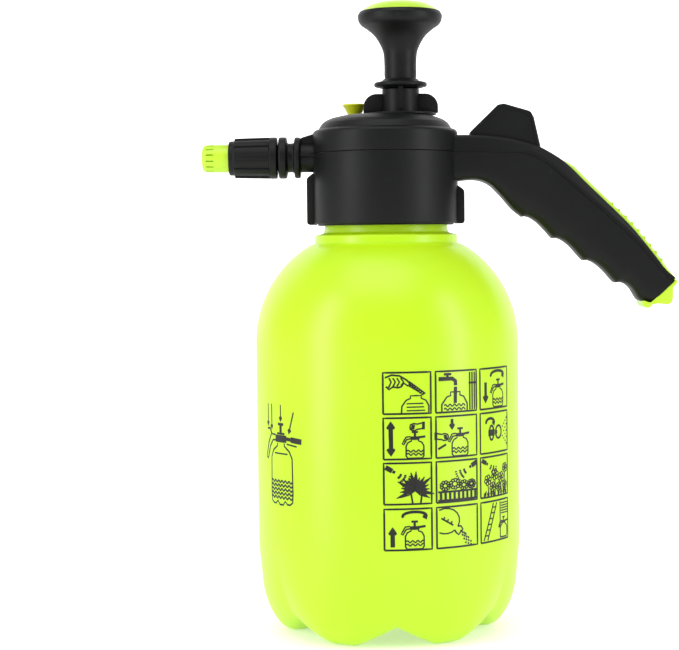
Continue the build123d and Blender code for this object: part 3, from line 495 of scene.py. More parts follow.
def make_bottle_body():
    r = bottle_r / MM
    foot = smooth_line([(0, 10), (15, 9.6), (28, 7.0), (37, 2.4), (41.5, 0.35), (45.0, 0.0), (49.2, 0.5),
                        (53.4, 3.0), (57.2, 8.0), (60.0, 14.0), (61.9, 21.0), (62.9, 30), (r, 42)], 60)
    crease = smooth_line([(0, 10), (15, 10.6), (28, 10.9), (37, 10.6), (42, 10.2), (45.6, 9.8), (49.2, 9.6),
                          (53.0, 10.8), (56.0, 14.4), (58.4, 19.6), (60.6, 26.4), (62.2, 34), (r, 45)], 60)
    arc_r, shoulder_low, shoulder_h = 54.4, 141, 47
    turns = [math.asin(shoulder_h / arc_r) * k / 24 for k in range(25)]
    shoulder = [(r - arc_r + arc_r * math.cos(turn), shoulder_low + arc_r * math.sin(turn)) for turn in turns]
    bead = rounded([(36.0, 188), (34.8, 188.7, 0.3), (34.8, 192.6, 1.0), (30.6, 193.6, 1.2), (29.9, 197)])[1:]
    wall = [(r, 45 + 96 * k / 12) for k in range(1, 12)]
    rim = neck_top / MM
    top = [(29.9, rim - 0.6), (29.4, rim), (28.2, rim), (27.6, rim - 0.6)]
    upper = wall + shoulder + bead + top
    inner = [(27.6, 195), (27.8, 190), (33.0, 186), (46, 176.5), (56, 163), (61.0, 145), (61.4, 60),
             (60.8, 40)]
    segments = 180
    rows = []
    for a, b in zip(foot, crease):
        rows.append([a.lerp(b, 1 - foot_share(2 * math.pi * k / segments)) for k in range(segments)])
    for x, z in upper + inner:
        rows.append([Vector((x, z))] * segments)
    for a, b in reversed(list(zip(foot, crease))[:52:3]):
        inset = [a.lerp(b, 1 - foot_share(2 * math.pi * k / segments)) for k in range(segments)]
        rows.append([Vector((max(p.x - 1.4, 0), p.y + 1.3)) if p.x > 2 else Vector((0,
                                                                                    p.y + 1.6)) for p in inset])
    verts, faces, index = [], [], []
    for row in rows:
        if row[0].x < 1e-4:
            index.append([len(verts)] * segments)
            verts.append((0, 0, row[0].y * MM))
            continue
        index.append(list(range(len(verts), len(verts) + segments)))
        for k, p in enumerate(row):
            angle = 2 * math.pi * k / segments
            verts.append((p.x * math.cos(angle) * MM, p.x * math.sin(angle) * MM, p.y * MM))
    for row, after in zip(index[:-1], index[1:]):
        for k in range(segments):
            face = list(dict.fromkeys([row[k], row[(k + 1) % segments], after[(k + 1) % segments], after[k]]))
            if len(face) > 2:
                faces.append(face)
    return mesh_object("bottle_body", verts, faces, BOTTLE, 50)


THREAD_PITCH = 5.0
THREAD_LAND = 1.8
THREAD_TURNS = 1.5
THREAD_FROM_TOP = 4.0


def make_ridge(name, inner, outer, low, turns, material):
    """A screw ridge with tapered ends, climbing counter-clockwise seen from above."""
    steps = 72
    verts, faces = [], []
    count = int(turns * steps)
    for k in range(count + 1):
        ease = min(1.0, k / 6, (count - k) / 6)
        reach = inner + (outer - inner) * max(ease, 0.02)
        angle = 2 * math.pi * k / steps
        level = low + THREAD_PITCH * k / steps
        for r, half in ((inner, 0.75 * THREAD_LAND), (reach, 0.35 * THREAD_LAND)):
            for way in (-1, 1):
                verts.append((r * math.cos(angle) * MM, r * math.sin(angle) * MM, (level + way * half) * MM))
    for k in range(count):
        a, b = 4 * k, 4 * k + 4
        for i, j in ((0, 1), (1, 3), (3, 2), (2, 0)):
            faces.append([a + i, a + j, b + j, b + i])
    faces += [[0, 2, 3, 1], [4 * count + 1, 4 * count + 3, 4 * count + 2, 4 * count]]
    return mesh_object(name, verts, faces, material)


thread_low = neck_top / MM - THREAD_FROM_TOP - THREAD_PITCH * THREAD_TURNS
bottle_parts = [make_bottle_body(), make_ridge("neck_thread", 29.4, 32.1, thread_low, THREAD_TURNS, BOTTLE)]
piece(join("bottle_body", bottle_parts, BOTTLE, 50), "bottle", "bottle_plastic", "bottle")


# ---- pump knob, its cap, the winged cap
def make_knob():
    z = knob_low.z / MM
    flange = rounded([(6.1, z), (9.4, z + 0.2, 1.6), (12.9, z + 1.1, 1.0), (12.9, z + 2.9, 0.9),
                      (9.2, z + 3.7, 0.8),
                      (7.9, z + 5.2, 1.5)])
    stem = smooth_line([(7.85, z + 7.0), (7.8, z + 11.5), (8.1, z + 16.6), (8.9, z + 19.6), (11.0, z + 23.7),
                        (13.4, z + 26.7), (16.5, z + 29.2), (18.8, z + 30.8), (20.1, z + 32.6),
                        (20.5, z + 34.4)], 40)
    rim = rounded([(20.55, z + 34.8), (20.5, z + 35.6, 0.6), (19.5, z + 37.4, 0.3), (19.2, z + 37.0),
                   (19.2, z + 34.4),
                   (6.1, z + 33.4), (6.1, z + 19)])
    outline = flange + [tuple(p) for p in stem] + rim
    return lathe("knob_body", outline, BLACK, 96, (pump_x, 0))


def make_knob_cap():
    z = knob_high.z / MM
    r, rise = 19.15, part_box("knob_cap")[1].z / MM - z
    crown = []
    for k in range(17):
        share = math.cos(math.pi / 2 * k / 16)
        crown.append((r * share, z + rise * (1 - share ** 3.6)))
    outline = [(0, z - 1.0), (16, z - 1.6), (16.2, z - 2.4), (r, z - 2.4)] + crown[:-1] + [(0, z + rise)]
    return lathe("knob_cap_disc", outline, GLOSS_LIME, 96, (pump_x, 0))


def make_winged_cap():
    z = upper_high.z / MM
    tower = rounded([(6.15, z - 1), (9.0, z - 1), (9.0, z + 11.2), (9.0, z + 12.0, 0.5),
                     (6.15, z + 12.0, 0.3)])
    parts = [lathe("cap_tower", tower, BLACK, 72, (pump_x, 0))]
    skirt = rounded([(9.0, z - 0.5), (17.2, z - 0.5), (17.2, z + 0.3, 0.3), (9.0, z + 0.8, 0.2)])
    parts.append(lathe("cap_disc", skirt, BLACK, 96, (pump_x, 0)))
    for side in (-1, 1):
        bend = 6.4
        turns = [math.pi / 2 * k / 9 for k in range(10)]
        outline = [(7.5, 0.3), (18.2, 0.3)]
        outline += [(18.2 - bend + bend * math.cos(t),
                     9.8 - bend + bend * math.sin(t)) for t in turns] + [(7.5, 9.8)]
        wing = [(pump_x / MM + side * x, z + h) for x, h in outline]
        parts.append(slab("cap_wing", wing, 1.7, BLACK, 0.5, 2))
    cap = join("winged_cap", parts, BLACK)
    left, right = pump_x / MM - 1.15, pump_x / MM + 1.15
    for side in (-1, 1):
        groove = [(left, z + 2), (right, z + 2), (right, z + 14), (left, z + 14)]
        cut(cap, slab("groove", groove, 1.0, BLACK, middle=side * 9.3), BLACK)
    return cap


piece(make_knob(), "pump", "black_plastic", "pump_knob")
piece(make_knob_cap(), "pump", "lime_plastic", "knob_cap")
piece(make_winged_cap(), "head", "black_plastic", "pump_cap")


# ---- handle sections
HANDLE_ROWS = [
    # back, seam and underside of each station, as (x, z) in millimetres
    ((32.0, 240.5), (32.0, 232.4), (32.0, 218.3)), ((43.0, 240.4), (43.0, 232.3), (43.4, 219.0)),
    ((51.8, 239.9), (50.8, 231.8), (50.3, 216.7)), ((60.7, 238.8), (58.7, 231.6), (56.3, 210.8)),
    ((71.5, 236.0), (67.1, 231.1), (61.5, 204.7)), ((79.4, 232.1), (75.0, 228.1), (66.4, 200.7)),
    ((87.8, 226.4), (82.7, 222.2), (73.8, 195.4)), ((96.8, 217.5), (91.2, 214.7), (81.2, 190.1)),
    ((104.1, 210.4), (98.6, 208.3), (88.6, 184.6)), ((111.4, 203.3), (106.5, 201.3), (96.0, 179.2)),
    ((118.8, 195.8), (114.4, 194.0), (103.7, 173.7)), ((125.7, 187.5), (122.4, 186.2), (111.4, 168.2)),
    ((131.7, 179.7), (129.7, 177.7), (117.4, 164.4)), ((136.6, 172.9), (135.1, 171.8), (122.9, 159.6)),
    ((140.0, 169.0), (139.1, 168.6), (127.9, 158.1)),
]
FIRST_TIP, LAST_TIP = 5, 13
STATIONS = 112


def handle_station(place):
    """Back, seam and underside at a place along the handle, 0 at the collar and 1 at the end."""
    lines = [[Vector(row[i]) for row in HANDLE_ROWS] for i in range(3)]
    spans = len(HANDLE_ROWS) - 1
    at = place * spans
    i = min(int(at), spans - 1)
    t = at - i
    found = []
    for line in lines:
        before = line[i - 1] if i else 2 * line[0] - line[1]
        after = line[i + 2] if i + 2 <= spans else 2 * line[-1] - line[-2]
        b, c = line[i], line[i + 1]
        found.append(0.5 * (2 * b + (c - before) * t + (2 * before - 5 * b + 4 * c - after) * t ** 2
                            + (3 * b - before - 3 * c + after) * t ** 3))
    back, seam, under = found
    if FIRST_TIP <= at <= LAST_TIP:
        swell = math.sin(math.pi * ((at - FIRST_TIP) / 2 % 1) ** 0.65)
        depth = 2.4 * (math.sqrt(swell ** 2 + 0.012) - 0.11)
        under = under + (back - under).normalized() * depth
    return back, seam, under


LOWER_SECTION = [(1.0, 0), (1.0, 0.25), (0.995, 0.5), (0.97, 0.68), (0.92, 0.81), (0.83, 0.91), (0.7, 0.97),
                 (0.5, 1.0),
                 (0.25, 1.0)]
COVER_SECTION = [(1.0, 0), (1.045, 0.02), (1.045, 0.09), (0.98, 0.12), (0.95, 0.25), (0.905, 0.5),
                 (0.865, 0.72),
                 (0.83, 0.86), (0.76, 0.95), (0.65, 0.99), (0.4, 1.0), (0.2, 1.0)]


def handle_sheet(name, section, side, narrower=0.0):
    """The outer skin of one handle half, open along the seam, ready for its wall."""
    across = section + [(0, 1.0)] + [(-share, rise) for share, rise in reversed(section)]
    rows = []
    for i in range(STATIONS + 1):
        place = i / STATIONS
        edges = handle_station(place)
        half = 12.6 - place - narrower
        square = 0.4 + 0.6 * min(1.0, max(0.0, place - 0.12) / 0.2)
        spots = [(edges[1].lerp(edges[side], rise), math.copysign(abs(share) ** square, share) * half)
                 for share, rise in across]
        rows.append([(spot.x * MM, y * MM, spot.y * MM) for spot, y in spots])
    verts = [v for row in rows for v in row]
    faces = []
    wide = len(across)
    for i in range(len(rows) - 1):
        for k in range(wide - 1):
            faces.append([i * wide + k, i * wide + k + 1, (i + 1) * wide + k + 1, (i + 1) * wide + k])
    last = (len(rows) - 1) * wide
    faces.append([last + k for k in range(wide)])
    return mesh_object(name, verts, faces, BLACK)


def walled(obj, thickness):
    """A wall grown inward from an open skin."""
    wall = obj.modifiers.new("wall", "SOLIDIFY")
    wall.thickness = thickness * MM
    wall.offset = -1
    return bake_modifiers(obj, BLACK)


def make_lower_shell():
    d = deck_z / MM
    low = skirt_low / MM + 0.4
    r = collar_r / MM
    skirt = rounded([(r, d + 9.1, 0.25), (r, low, 0.5), (33.1, low, 0.2), (33.2, low - 0.8, 0.2),
                     (32.5, low - 0.8, 0.2),
                     (32.5, low + 1.0), (32.9, low + 2.0), (32.9, d + 9.1)], 3)
    collar = lathe("skirt", skirt, BLACK, 144)
    deck = lathe("deck", [(0, d), (33.4, d), (33.4, d + 3.0), (0, d + 3.0)], BLACK, 96)
    piston_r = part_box("piston")[1].y / MM + 1.2
    for radius, centre in ((piston_r, (pump_x, 0)), (3.4, (relief_x, relief_y))):
        cut(deck, lathe("hole", [(0, d - 1), (radius, d - 1), (radius, d + 4), (0, d + 4)], BLACK, 64,
                        centre), BLACK)
    handle = walled(handle_sheet("handle_lower", LOWER_SECTION, 2), 2.2)
    parts = [collar, deck, handle, make_ridge("skirt_thread", 33.4, 30.4, thread_low - THREAD_PITCH / 2, 1.25,
                                              BLACK)]
    for side, height in ((-1, 25.5), (1, 19.0)):
        for turn in (-1, 1):
            fin = rounded([(33.5, low - 0.3), (38.4, low - 0.3, 1.4), (38.4, low + height - 3.0, 2.5),
                           (34.2, low + height)])
            parts.append(slab("fin", [(side * x, z) for x, z in fin], 1.1, BLACK, 0.5, 3, turn * 3.5))
    ledge = [(-34.0, d + 9.9), (-44.0, d + 8.9), (-44.0, d + 7.9), (-34.0, d + 7.6)]
    parts.append(slab("ledge", ledge, 8.4, BLACK, 0.4, 3))
    return join("lower_head_shell", parts, BLACK)


def make_upper_shell():
    d = deck_z / MM
    r = collar_r / MM
    top = upper_high.z / MM
    outline = rounded([(32.9, d + 9.3), (r, d + 9.3, 0.25), (r, d + 19.8, 2.6), (32.4, d + 20.8, 0.3),
                       (31.7, d + 22.1, 0.8), (30.6, d + 23.7, 1.5), (28.6, d + 25.1, 2), (25.6, d + 26.3, 4),
                       (20.0, d + 27.5, 8), (12.0, top - 0.1, 8), (0, top), (0, top - 2.2),
                       (20.0, top - 3.0, 4),
                       (29.0, d + 21.2, 2), (32.9, d + 16.8, 1)], 6)
    dome = lathe("dome", outline, BLACK, 144)
    cover = walled(handle_sheet("handle_cover", COVER_SECTION, 0, 0.25), 2.0)
    front, back, pin = pin_x / MM - 3.1, pin_x / MM + 34.0, pin_z / MM
    slot = [(front, pin - 1.5), (back, pin - 15.5), (back, pin + 22.5), (front, pin + 22.5)]
    cut(cover, slab("slot", slot, 8.45, BLACK), BLACK)
    barrel = nozzle_z / MM + 6.4
    gusset = [(-44.5, barrel), (-44.5, barrel + 1.5), (-40.0, barrel + 3.6), (-34.0, barrel + 5.4),
              (-34.0, barrel)]
    shell = join("upper_head_shell", [dome, cover, slab("gusset", gusset, 2.2, BLACK, 0.5, 3)], BLACK)
    hole = lathe("hole", [(0, top - 4), (17.8, top - 4), (17.8, top + 2), (0, top + 2)], BLACK, 72,
                 (pump_x, 0))
    cut(shell, hole, BLACK)
    return shell


piece(make_lower_shell(), "head", "black_plastic", "lower_shell")
piece(make_upper_shell(), "head", "black_plastic", "upper_shell")


# ---- lever
def make_lever():
    x, z = pin_x / MM, pin_z / MM
    side = rounded([(x - 1.6, z - 2.2, 1.2), (x - 1.2, z + 4.6, 1.0), (x + 12.2, z + 17.5, 3.0),
                    (x + 15.2, z + 18.0, 2.0), (x + 28.0, z + 14.2, 2.4), (x + 29.6, z + 11.2, 1.5),
                    (x + 33.0, z - 4.0, 0.8)], 6)
    outer = slab("lever_body", side, 8.2, BLACK, 0.8, 4)
    inside = [(x + 0.4, z - 9), (x + 0.6, z + 3.6), (x + 13.0, z + 15.4), (x + 26.6, z + 12.0),
              (x + 31.4, z - 9)]
    hollow = slab("lever_hollow", inside, 6.4, BLACK)
    lever = cut(outer, hollow, BLACK)
    recess = rounded([(x + 0.6, z - 7), (x + 0.9, z + 4.4, 1.0), (x + 12.6, z + 16.0, 2.2),
                      (x + 15.0, z + 16.5, 1.6),
                      (x + 27.0, z + 13.0, 1.6), (x + 28.3, z + 10.6, 1.2), (x + 32.0, z - 7)], 5)
    for way in (-1, 1):
        cut(lever, slab("recess", recess, 0.4, BLACK, middle=way * 8.25), BLACK)
    stem_low, stem_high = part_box("valve_stem")
    foot = stem_high.z / MM + 0.03
    post = [(0, foot), (2.2, foot), (2.2, z + 14), (0, z + 14)]
    push = lathe("lever_post", post, BLACK, 24, ((stem_low.x + stem_high.x) / 2, 0))
    return join("thumb_lever", [lever, push], BLACK)


piece(make_lever(), "trigger", "black_plastic", "trigger_lever")


# ---- grip strip and end cap
def line_object(name, lines):
    """A curve object of straight runs; each run is its points in metres and one radius."""
    curve = bpy.data.curves.new(name, "CURVE")
    curve.dimensions = "3D"
    for places, radius in lines:
        line = curve.splines.new("POLY")
        line.points.add(len(places) - 1)
        for point, place in zip(line.points, places):
            point.co = (*place, 1)
            point.radius = radius
    holder = bpy.data.objects.new(name, curve)
    bpy.context.scene.collection.objects.link(holder)
    return holder


def geometry_piece(name, holder, material, inputs, build):
    """One mesh made by a geometry tree: inputs are named values, and build() returns the shape from them."""
    tree = bpy.data.node_groups.new(name, "GeometryNodeTree")
    tree.interface.new_socket("Source", in_out="INPUT", socket_type="NodeSocketGeometry")
    keys = {}
    for label, value in inputs.items():
        kind = "NodeSocketInt" if isinstance(value, int) else "NodeSocketFloat"
        keys[label] = tree.interface.new_socket(label, in_out="INPUT", socket_type=kind).identifier
    tree.interface.new_socket("Mesh", in_out="OUTPUT", socket_type="NodeSocketGeometry")
    graph = Graph(tree)
    group = tree.nodes.new("NodeGroupInput")
    given = {socket.name: Wire(graph, socket) for socket in group.outputs if socket.name}
    solid = graph.node("GeometryNodeRealizeInstances", None, {"Geometry": build(graph, given)})
    shown = graph.node("GeometryNodeSetMaterial", None, {"Geometry": solid, "Material": material})
    output = tree.nodes.new("NodeGroupOutput")
    tree.links.new(shown.socket, output.inputs[0])
    modifier = holder.modifiers.new(name, "NODES")
    modifier.node_group = tree
    for label, value in inputs.items():
        modifier[keys[label]] = value
    evaluated = bpy.context.evaluated_depsgraph_get()
    mesh = bpy.data.meshes.new_from_object(holder.evaluated_get(evaluated))
    bpy.data.objects.remove(holder, do_unlink=True)
    made = bpy.data.objects.new(name, mesh)
    bpy.context.scene.collection.objects.link(made)
    dress(made, material)
    return made


def ridges_along(graph, given):
    """Small crosswise rods spaced evenly along a line."""
    points = graph.node("GeometryNodeResampleCurve", None,
                        {"Curve": given["Source"], "Count": given["Count"]})
    bar = graph.node("GeometryNodeMeshCylinder", {"fill_type": "NGON"},
                     {"Vertices": 14, "Radius": given["Radius"], "Depth": given["Width"]})
    turned = graph.node("GeometryNodeTransform", None, {"Geometry": bar, "Rotation": (math.pi / 2, 0, 0)})
    return graph.node("GeometryNodeInstanceOnPoints", None, {"Points": points, "Instance": turned})


def back_line(start, end, count, lift):
    """Points above the handle's back in its middle plane."""
    out = []
    for i in range(count + 1):
        place = start + (end - start) * i / count
        here = handle_station(place)[0]
        before = handle_station(max(place - 0.01, 0))[0]
        after = handle_station(min(place + 0.01, 1))[0]
        way = (after - before).normalized()
        out.append(here + Vector((-way.y, way.x)) * lift)
    return out


def make_grip():
    start, end, count = 0.40, 1.0, 60
    verts = []
    faces = []
    across = 12
    lows = back_line(start, end, count, -1.6)
    highs = back_line(start, end, count, 1.75)
    for i in range(count + 1):
        ease = min(1.0, i / 5)
        half = 7.5 * (0.55 + 0.45 * math.sin(ease * math.pi / 2))
        for k in range(across + 1):
            side = -1 + 2 * k / across
            crown = 1 - abs(side) ** 4
            spot = lows[i].lerp(highs[i], (0.55 + 0.45 * crown) * (0.45 + 0.55 * ease))
            verts.append((spot.x * MM, side * half * MM, spot.y * MM))
        for side in (1, -1):
            verts.append((lows[i].x * MM, side * half * MM, lows[i].y * MM))
    wide = across + 3
    for i in range(count):
        for k in range(wide):
            faces.append([i * wide + k, i * wide + (k + 1) % wide, (i + 1) * wide + (k + 1) % wide,
                          (i + 1) * wide + k])
    faces.append(list(range(wide)))
    faces.append([count * wide + k for k in range(wide)][::-1])
    strip = mesh_object("grip_strip", verts, faces, GRIP_LIME)
    ridge_line = [(p.x * MM, 0, p.y * MM) for p in back_line(0.62, 0.87, 30, 1.25)]
    sizes = {"Count": 9, "Radius": 0.85 * MM, "Width": 12.6 * MM}
    ridges = geometry_piece("grip_ridges", line_object("grip_line", [(ridge_line, 1.0)]), GRIP_LIME, sizes,
                            ridges_along)
    return join("grip_strip", [strip, ridges], GRIP_LIME)


def make_end_cap():
    corner = handle_station(1.0)[0]
    offsets = [(1.0, 0.2, 0.4), (0.4, -1.6, 0.8), (-1.3, -3.4, 0.8), (-1.4, -8.9, 1.2), (-2.2, -11.0, 1.0),
               (-4.3, -11.5, 1.2), (-8.6, -11.0, 1.5), (-11.4, -11.5, 0.8), (-12.6, -13.0, 0.8),
               (-14.7, -13.0, 1.2),
               (-16.2, -10.9, 1.0), (-15.9, -9.3, 0.6), (-13.2, -10.3, 0.3), (-11.9, -10.4, 0.3),
               (-0.1, 0.4, 0.2)]
    outline = rounded([(corner.x + x, corner.y + z, r) for x, z, r in offsets], 4)
    return slab("end_cap", outline, 11.2, GLOSS_LIME, 0.5, 3)


piece(make_grip(), "head", "lime_grip", "grip_insert")
piece(make_end_cap(), "head", "lime_plastic", "handle_end_cap")


# ---- nozzle
def make_spigot():
    rear, end = sleeve_high.x / MM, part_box("nozzle_spigot")[0].x / MM
    outline = rounded([
        (0, -24), (4.6, -24), (4.6, -32.2), (7.1, -32.2), (7.1, rear + 11.6, 0.3), (10.0, rear + 11.3, 0.9),
        (10.0, rear + 8.6, 0.9), (7.4, rear + 8.2, 0.3), (7.1, rear + 7.4), (7.1, rear + 5.2, 0.4),
        (10.1, rear + 4.6, 0.9),
        (10.1, rear + 0.9, 0.9), (6.6, rear + 0.5), (5.5, rear - 1), (5.5, end + 0.6, 0.5), (0, end)], 5)
    return lathe("spigot", outline, BLACK, 96, axis="X", level=nozzle_z)


def bars_round_axis(graph, given):
    """One bar repeated evenly round the nozzle's axis."""
    line = graph.node("GeometryNodeMeshLine", None, {"Count": given["Count"], "Offset": (0, 0, 0)})
    angle = graph.node("GeometryNodeInputIndex") * 2 * math.pi / given["Count"]
    spin = graph.node("ShaderNodeCombineXYZ", None, {"X": angle})
    placed = graph.node("GeometryNodeInstanceOnPoints", None,
                        {"Points": line, "Instance": given["Source"], "Rotation": spin})
    lift = graph.node("ShaderNodeCombineXYZ", None, {"Z": given["Level"]})
    return graph.node("GeometryNodeTransform", None, {"Geometry": placed, "Translation": lift})


def ring_of(name, bar, count, material):
    return geometry_piece(name, bar, material, {"Count": count, "Level": nozzle_z}, bars_round_axis)


def make_sleeve():
    front, rear = sleeve_low.x / MM, sleeve_high.x / MM
    outline = rounded([(5.56, rear), (10.1, rear, 0.5), (10.1, rear - 3.4, 0.5), (9.2, rear - 3.9, 0.4),
                       (8.8, front + 3.0, 0.4), (8.4, front + 2.4, 0.5), (8.3, front, 0.8), (5.56, front)], 4)
    body = lathe("sleeve_body", outline, BLACK, 96, axis="X", level=nozzle_z)
    rib = rounded([(rear - 3.4, 7.0), (rear - 3.4, 10.0), (front + 2.8, 9.6, 0.5), (front + 2.6, 7.0)], 4)
    bar = slab("sleeve_rib", rib, 1.5, BLACK, 0.4, 3)
    ribs = ring_of("sleeve_ribs", bar, 8, BLACK)
    return join("nozzle_sleeve_ribbed", [body, ribs], BLACK)


def make_tip():
    front, rear = tip_low.x / MM, sleeve_low.x / MM + 1.5
    outline = rounded([(5.6, rear), (6.8, rear), (6.8, front + 4.5), (6.6, front, 2.3), (2.2, front, 0.5),
                       (1.6, front + 0.9, 0.3), (0.5, front + 1.0), (0.5, front + 3.0), (5.0, front + 4.0)],
                       5)
    body = lathe("tip_body", outline, GLOSS_LIME, 96, axis="X", level=nozzle_z)
    slot = [(front + 2.2, 5.6), (front + 2.2, 7.6), (front + 5.8, 7.6), (front + 5.8, 5.6)]
    bar = slab("tip_slot", slot, 0.38, GLOSS_LIME)
    slots = ring_of("tip_slots", bar, 14, GLOSS_LIME)
    return cut(body, slots, GLOSS_LIME)


piece(make_spigot(), "head", "black_plastic", "nozzle_spigot")
piece(make_sleeve(), "nozzle", "black_plastic", "nozzle_sleeve")
piece(make_tip(), "nozzle", "lime_plastic", "nozzle_tip")


# ---- relief knob
def make_relief_knob():
    low, high = relief_low.z / MM, relief_high.z / MM
    outline = rounded([(0, low), (2.9, low), (2.9, low + 1.6), (1.5, low + 1.6), (1.5, high - 6.4),
                       (3.2, high - 6.2, 0.4),
                       (3.6, high - 4.6, 1.0), (5.4, high - 1.4, 0.5), (6.0, high - 0.9, 0.4),
                       (6.0, high, 0.4), (0, high)])
    return lathe("relief_pull", outline, RELIEF_LIME, 64, (relief_x, relief_y))


piece(make_relief_knob(), "relief", "lime_plastic", "relief_knob")


# ---- pictures printed on the bottle
class Sheet:
    """Pen strokes on the unrolled wall of the bottle, in millimetres along it and up it."""

    def __init__(self):
        self.strokes = []
        self.corner = (0.0, 0.0)

    def at(self, along, up):
        self.corner = (along, up)
        return self

    def line(self, points, pen=0.55):
        """A stroke through the points, cut short enough to follow the wall."""
        placed = [Vector((self.corner[0] + x, self.corner[1] + z)) for x, z in points]
        pen = pen * 1.1 + 0.2
        out = [placed[0]]
        for a, b in zip(placed, placed[1:]):
            parts = max(1, math.ceil((b - a).length / 2.5))
            out += [a.lerp(b, (k + 1) / parts) for k in range(parts)]
        self.strokes.append((out, pen / 2))

    def arc(self, x, z, rx, rz, start=0, end=360, pen=0.55):
        count = max(4, int(abs(end - start) / 20))
        turns = [math.radians(start + (end - start) * k / count) for k in range(count + 1)]
        self.line([(x + rx * math.cos(t), z + rz * math.sin(t)) for t in turns], pen)

    def arrow(self, x0, z0, x1, z1, pen=1.3, head=2.4):
        """A heavy arrow that ends at the second point."""
        way = (Vector((x1, z1)) - Vector((x0, z0))).normalized()
        side = Vector((-way.y, way.x))
        tip = Vector((x1, z1))
        self.line([(x0, z0), tuple(tip - way * head * 0.7)], pen)
        for k in range(4):
            back = tip - way * head * (k + 1) / 4
            reach = side * head * 0.55 * (k + 1) / 4
            self.line([tuple(back - reach), tuple(back + reach)], 0.7)
        self.line([tuple(tip - way * head + side * head * 0.6), (x1, z1),
                   tuple(tip - way * head - side * head * 0.6)])

    def turn_arrow(self, x, z, rx, rz):
        self.arc(x, z, rx, rz, 200, -20, 1.2)
        self.arrow(x + rx * 0.8, z + 0.6, x + rx * 1.0, z - 1.6, 0.8, 1.8)

    def hand(self, x, z, size, way=1):
        """A closed hand with the arm running off to one side."""
        outline = [(-2, -1.6), (-2.4, 0), (-2, 1.6), (0, 2.2), (2.2, 1.8), (6.0, 2.6)]
        self.line([(x + way * a * size, z + b * size) for a, b in outline])
        below = [(-2, -1.6), (0.4, -2.1), (2.2, -1.4), (6.0, -0.9)]
        self.line([(x + way * a * size, z + b * size) for a, b in below])
        for k in range(3):
            self.line([(x + way * (-1.9 + k * 0.25) * size, z + (-0.9 + k * 0.9) * size),
                       (x + way * (0.4 + k * 0.2) * size, z + (-0.8 + k * 0.9) * size)])
        self.line([(x + way * 6.0 * size, z + 3.2 * size), (x + way * 6.0 * size, z - 1.5 * size)], 1.2)

    def sprayer(self, x, z, size, liquid=True):
        """A small outline of the whole sprayer, its handle to the left."""
        half = [(1.8, 9.6), (1.8, 8.8), (3.6, 8.0), (4.6, 6.2), (4.6, 1.2), (3.8, 0)]
        body = [(-a, b) for a, b in half[::-1]] + half + [(-3.8, 0)]
        self.line([(x + a * size, z + b * size) for a, b in body])
        self.line([(x - 2.4 * size, z + 10.3 * size), (x + 2.4 * size, z + 10.3 * size)], 1.5 * size)
        self.line([(x, z + 10.8 * size), (x, z + 13.0 * size)], 0.9 * size)
        self.line([(x - 1.6 * size, z + 13.3 * size), (x + 1.6 * size, z + 13.3 * size)], 0.9 * size)
        self.line([(x + 2.4 * size, z + 10.6 * size), (x + 5.4 * size, z + 10.9 * size)], 1.0 * size)
        handle = [(-2.4, 11.0), (-4.6, 10.8), (-6.6, 7.4), (-5.8, 7.0), (-4.2, 9.6), (-2.4, 9.9)]
        self.line([(x + a * size, z + b * size) for a, b in handle])
        if liquid:
            for k in range(2):
                self.wave(x - 4.2 * size, x + 4.2 * size, z + (2.0 + 1.6 * k) * size)

    def wave(self, x0, x1, z, rise=0.5, pitch=2.4, pen=0.5):
        count = max(6, int((x1 - x0) / pitch * 6))
        self.line([(x0 + (x1 - x0) * k / count, z + rise * math.sin(2 * math.pi * (x1 - x0) * k / count / pitch))
                   for k in range(count + 1)], pen)

    def spray(self, x, z, aim, length, spread, lines=6):
        """Dashes fanning out from a nozzle."""
        for i in range(lines):
            turn = math.radians(aim + spread * (i / (lines - 1) - 0.5))
            for k in range(3):
                near, far = length * (0.25 + 0.27 * k), length * (0.38 + 0.27 * k)
                self.line([(x + near * math.cos(turn), z + near * math.sin(turn)),
                           (x + far * math.cos(turn), z + far * math.sin(turn))], 0.5)

    def nozzle(self, x, z, aim, size=1.0):
        way = Vector((math.cos(math.radians(aim)), math.sin(math.radians(aim))))
        start = Vector((x, z))
        self.line([tuple(start - way * 4.6 * size), tuple(start - way * 1.4 * size)], 2.0 * size)
        self.line([tuple(start - way * 1.2 * size), (x, z)], 1.1 * size)

    def leaf(self, x, z, aim, length, wide):
        way = Vector((math.cos(math.radians(aim)), math.sin(math.radians(aim))))
        side = Vector((-way.y, way.x)) * wide
        root = Vector((x, z))
        tip = root + way * length
        edge = [root, root + way * length * 0.4 + side, tip, root + way * length * 0.4 - side, root]
        self.line([tuple(p) for p in edge])
        self.line([tuple(root), tuple(tip)], 0.45)

    def flower(self, x, z, size):
        self.arc(x, z, 0.5 * size, 0.5 * size, pen=0.7)
        for k in range(6):
            turn = math.radians(60 * k + 15)
            self.arc(x + 1.3 * size * math.cos(turn), z + 1.3 * size * math.sin(turn), 0.75 * size,
                     0.75 * size, pen=0.45)


CELL_W, CELL_H = 22.2, 18.9
CELL_PITCH = 24.6
PRINT_LEFT = -2.2
ROW_LOWS = [110.9, 90.1, 69.4, 48.3]


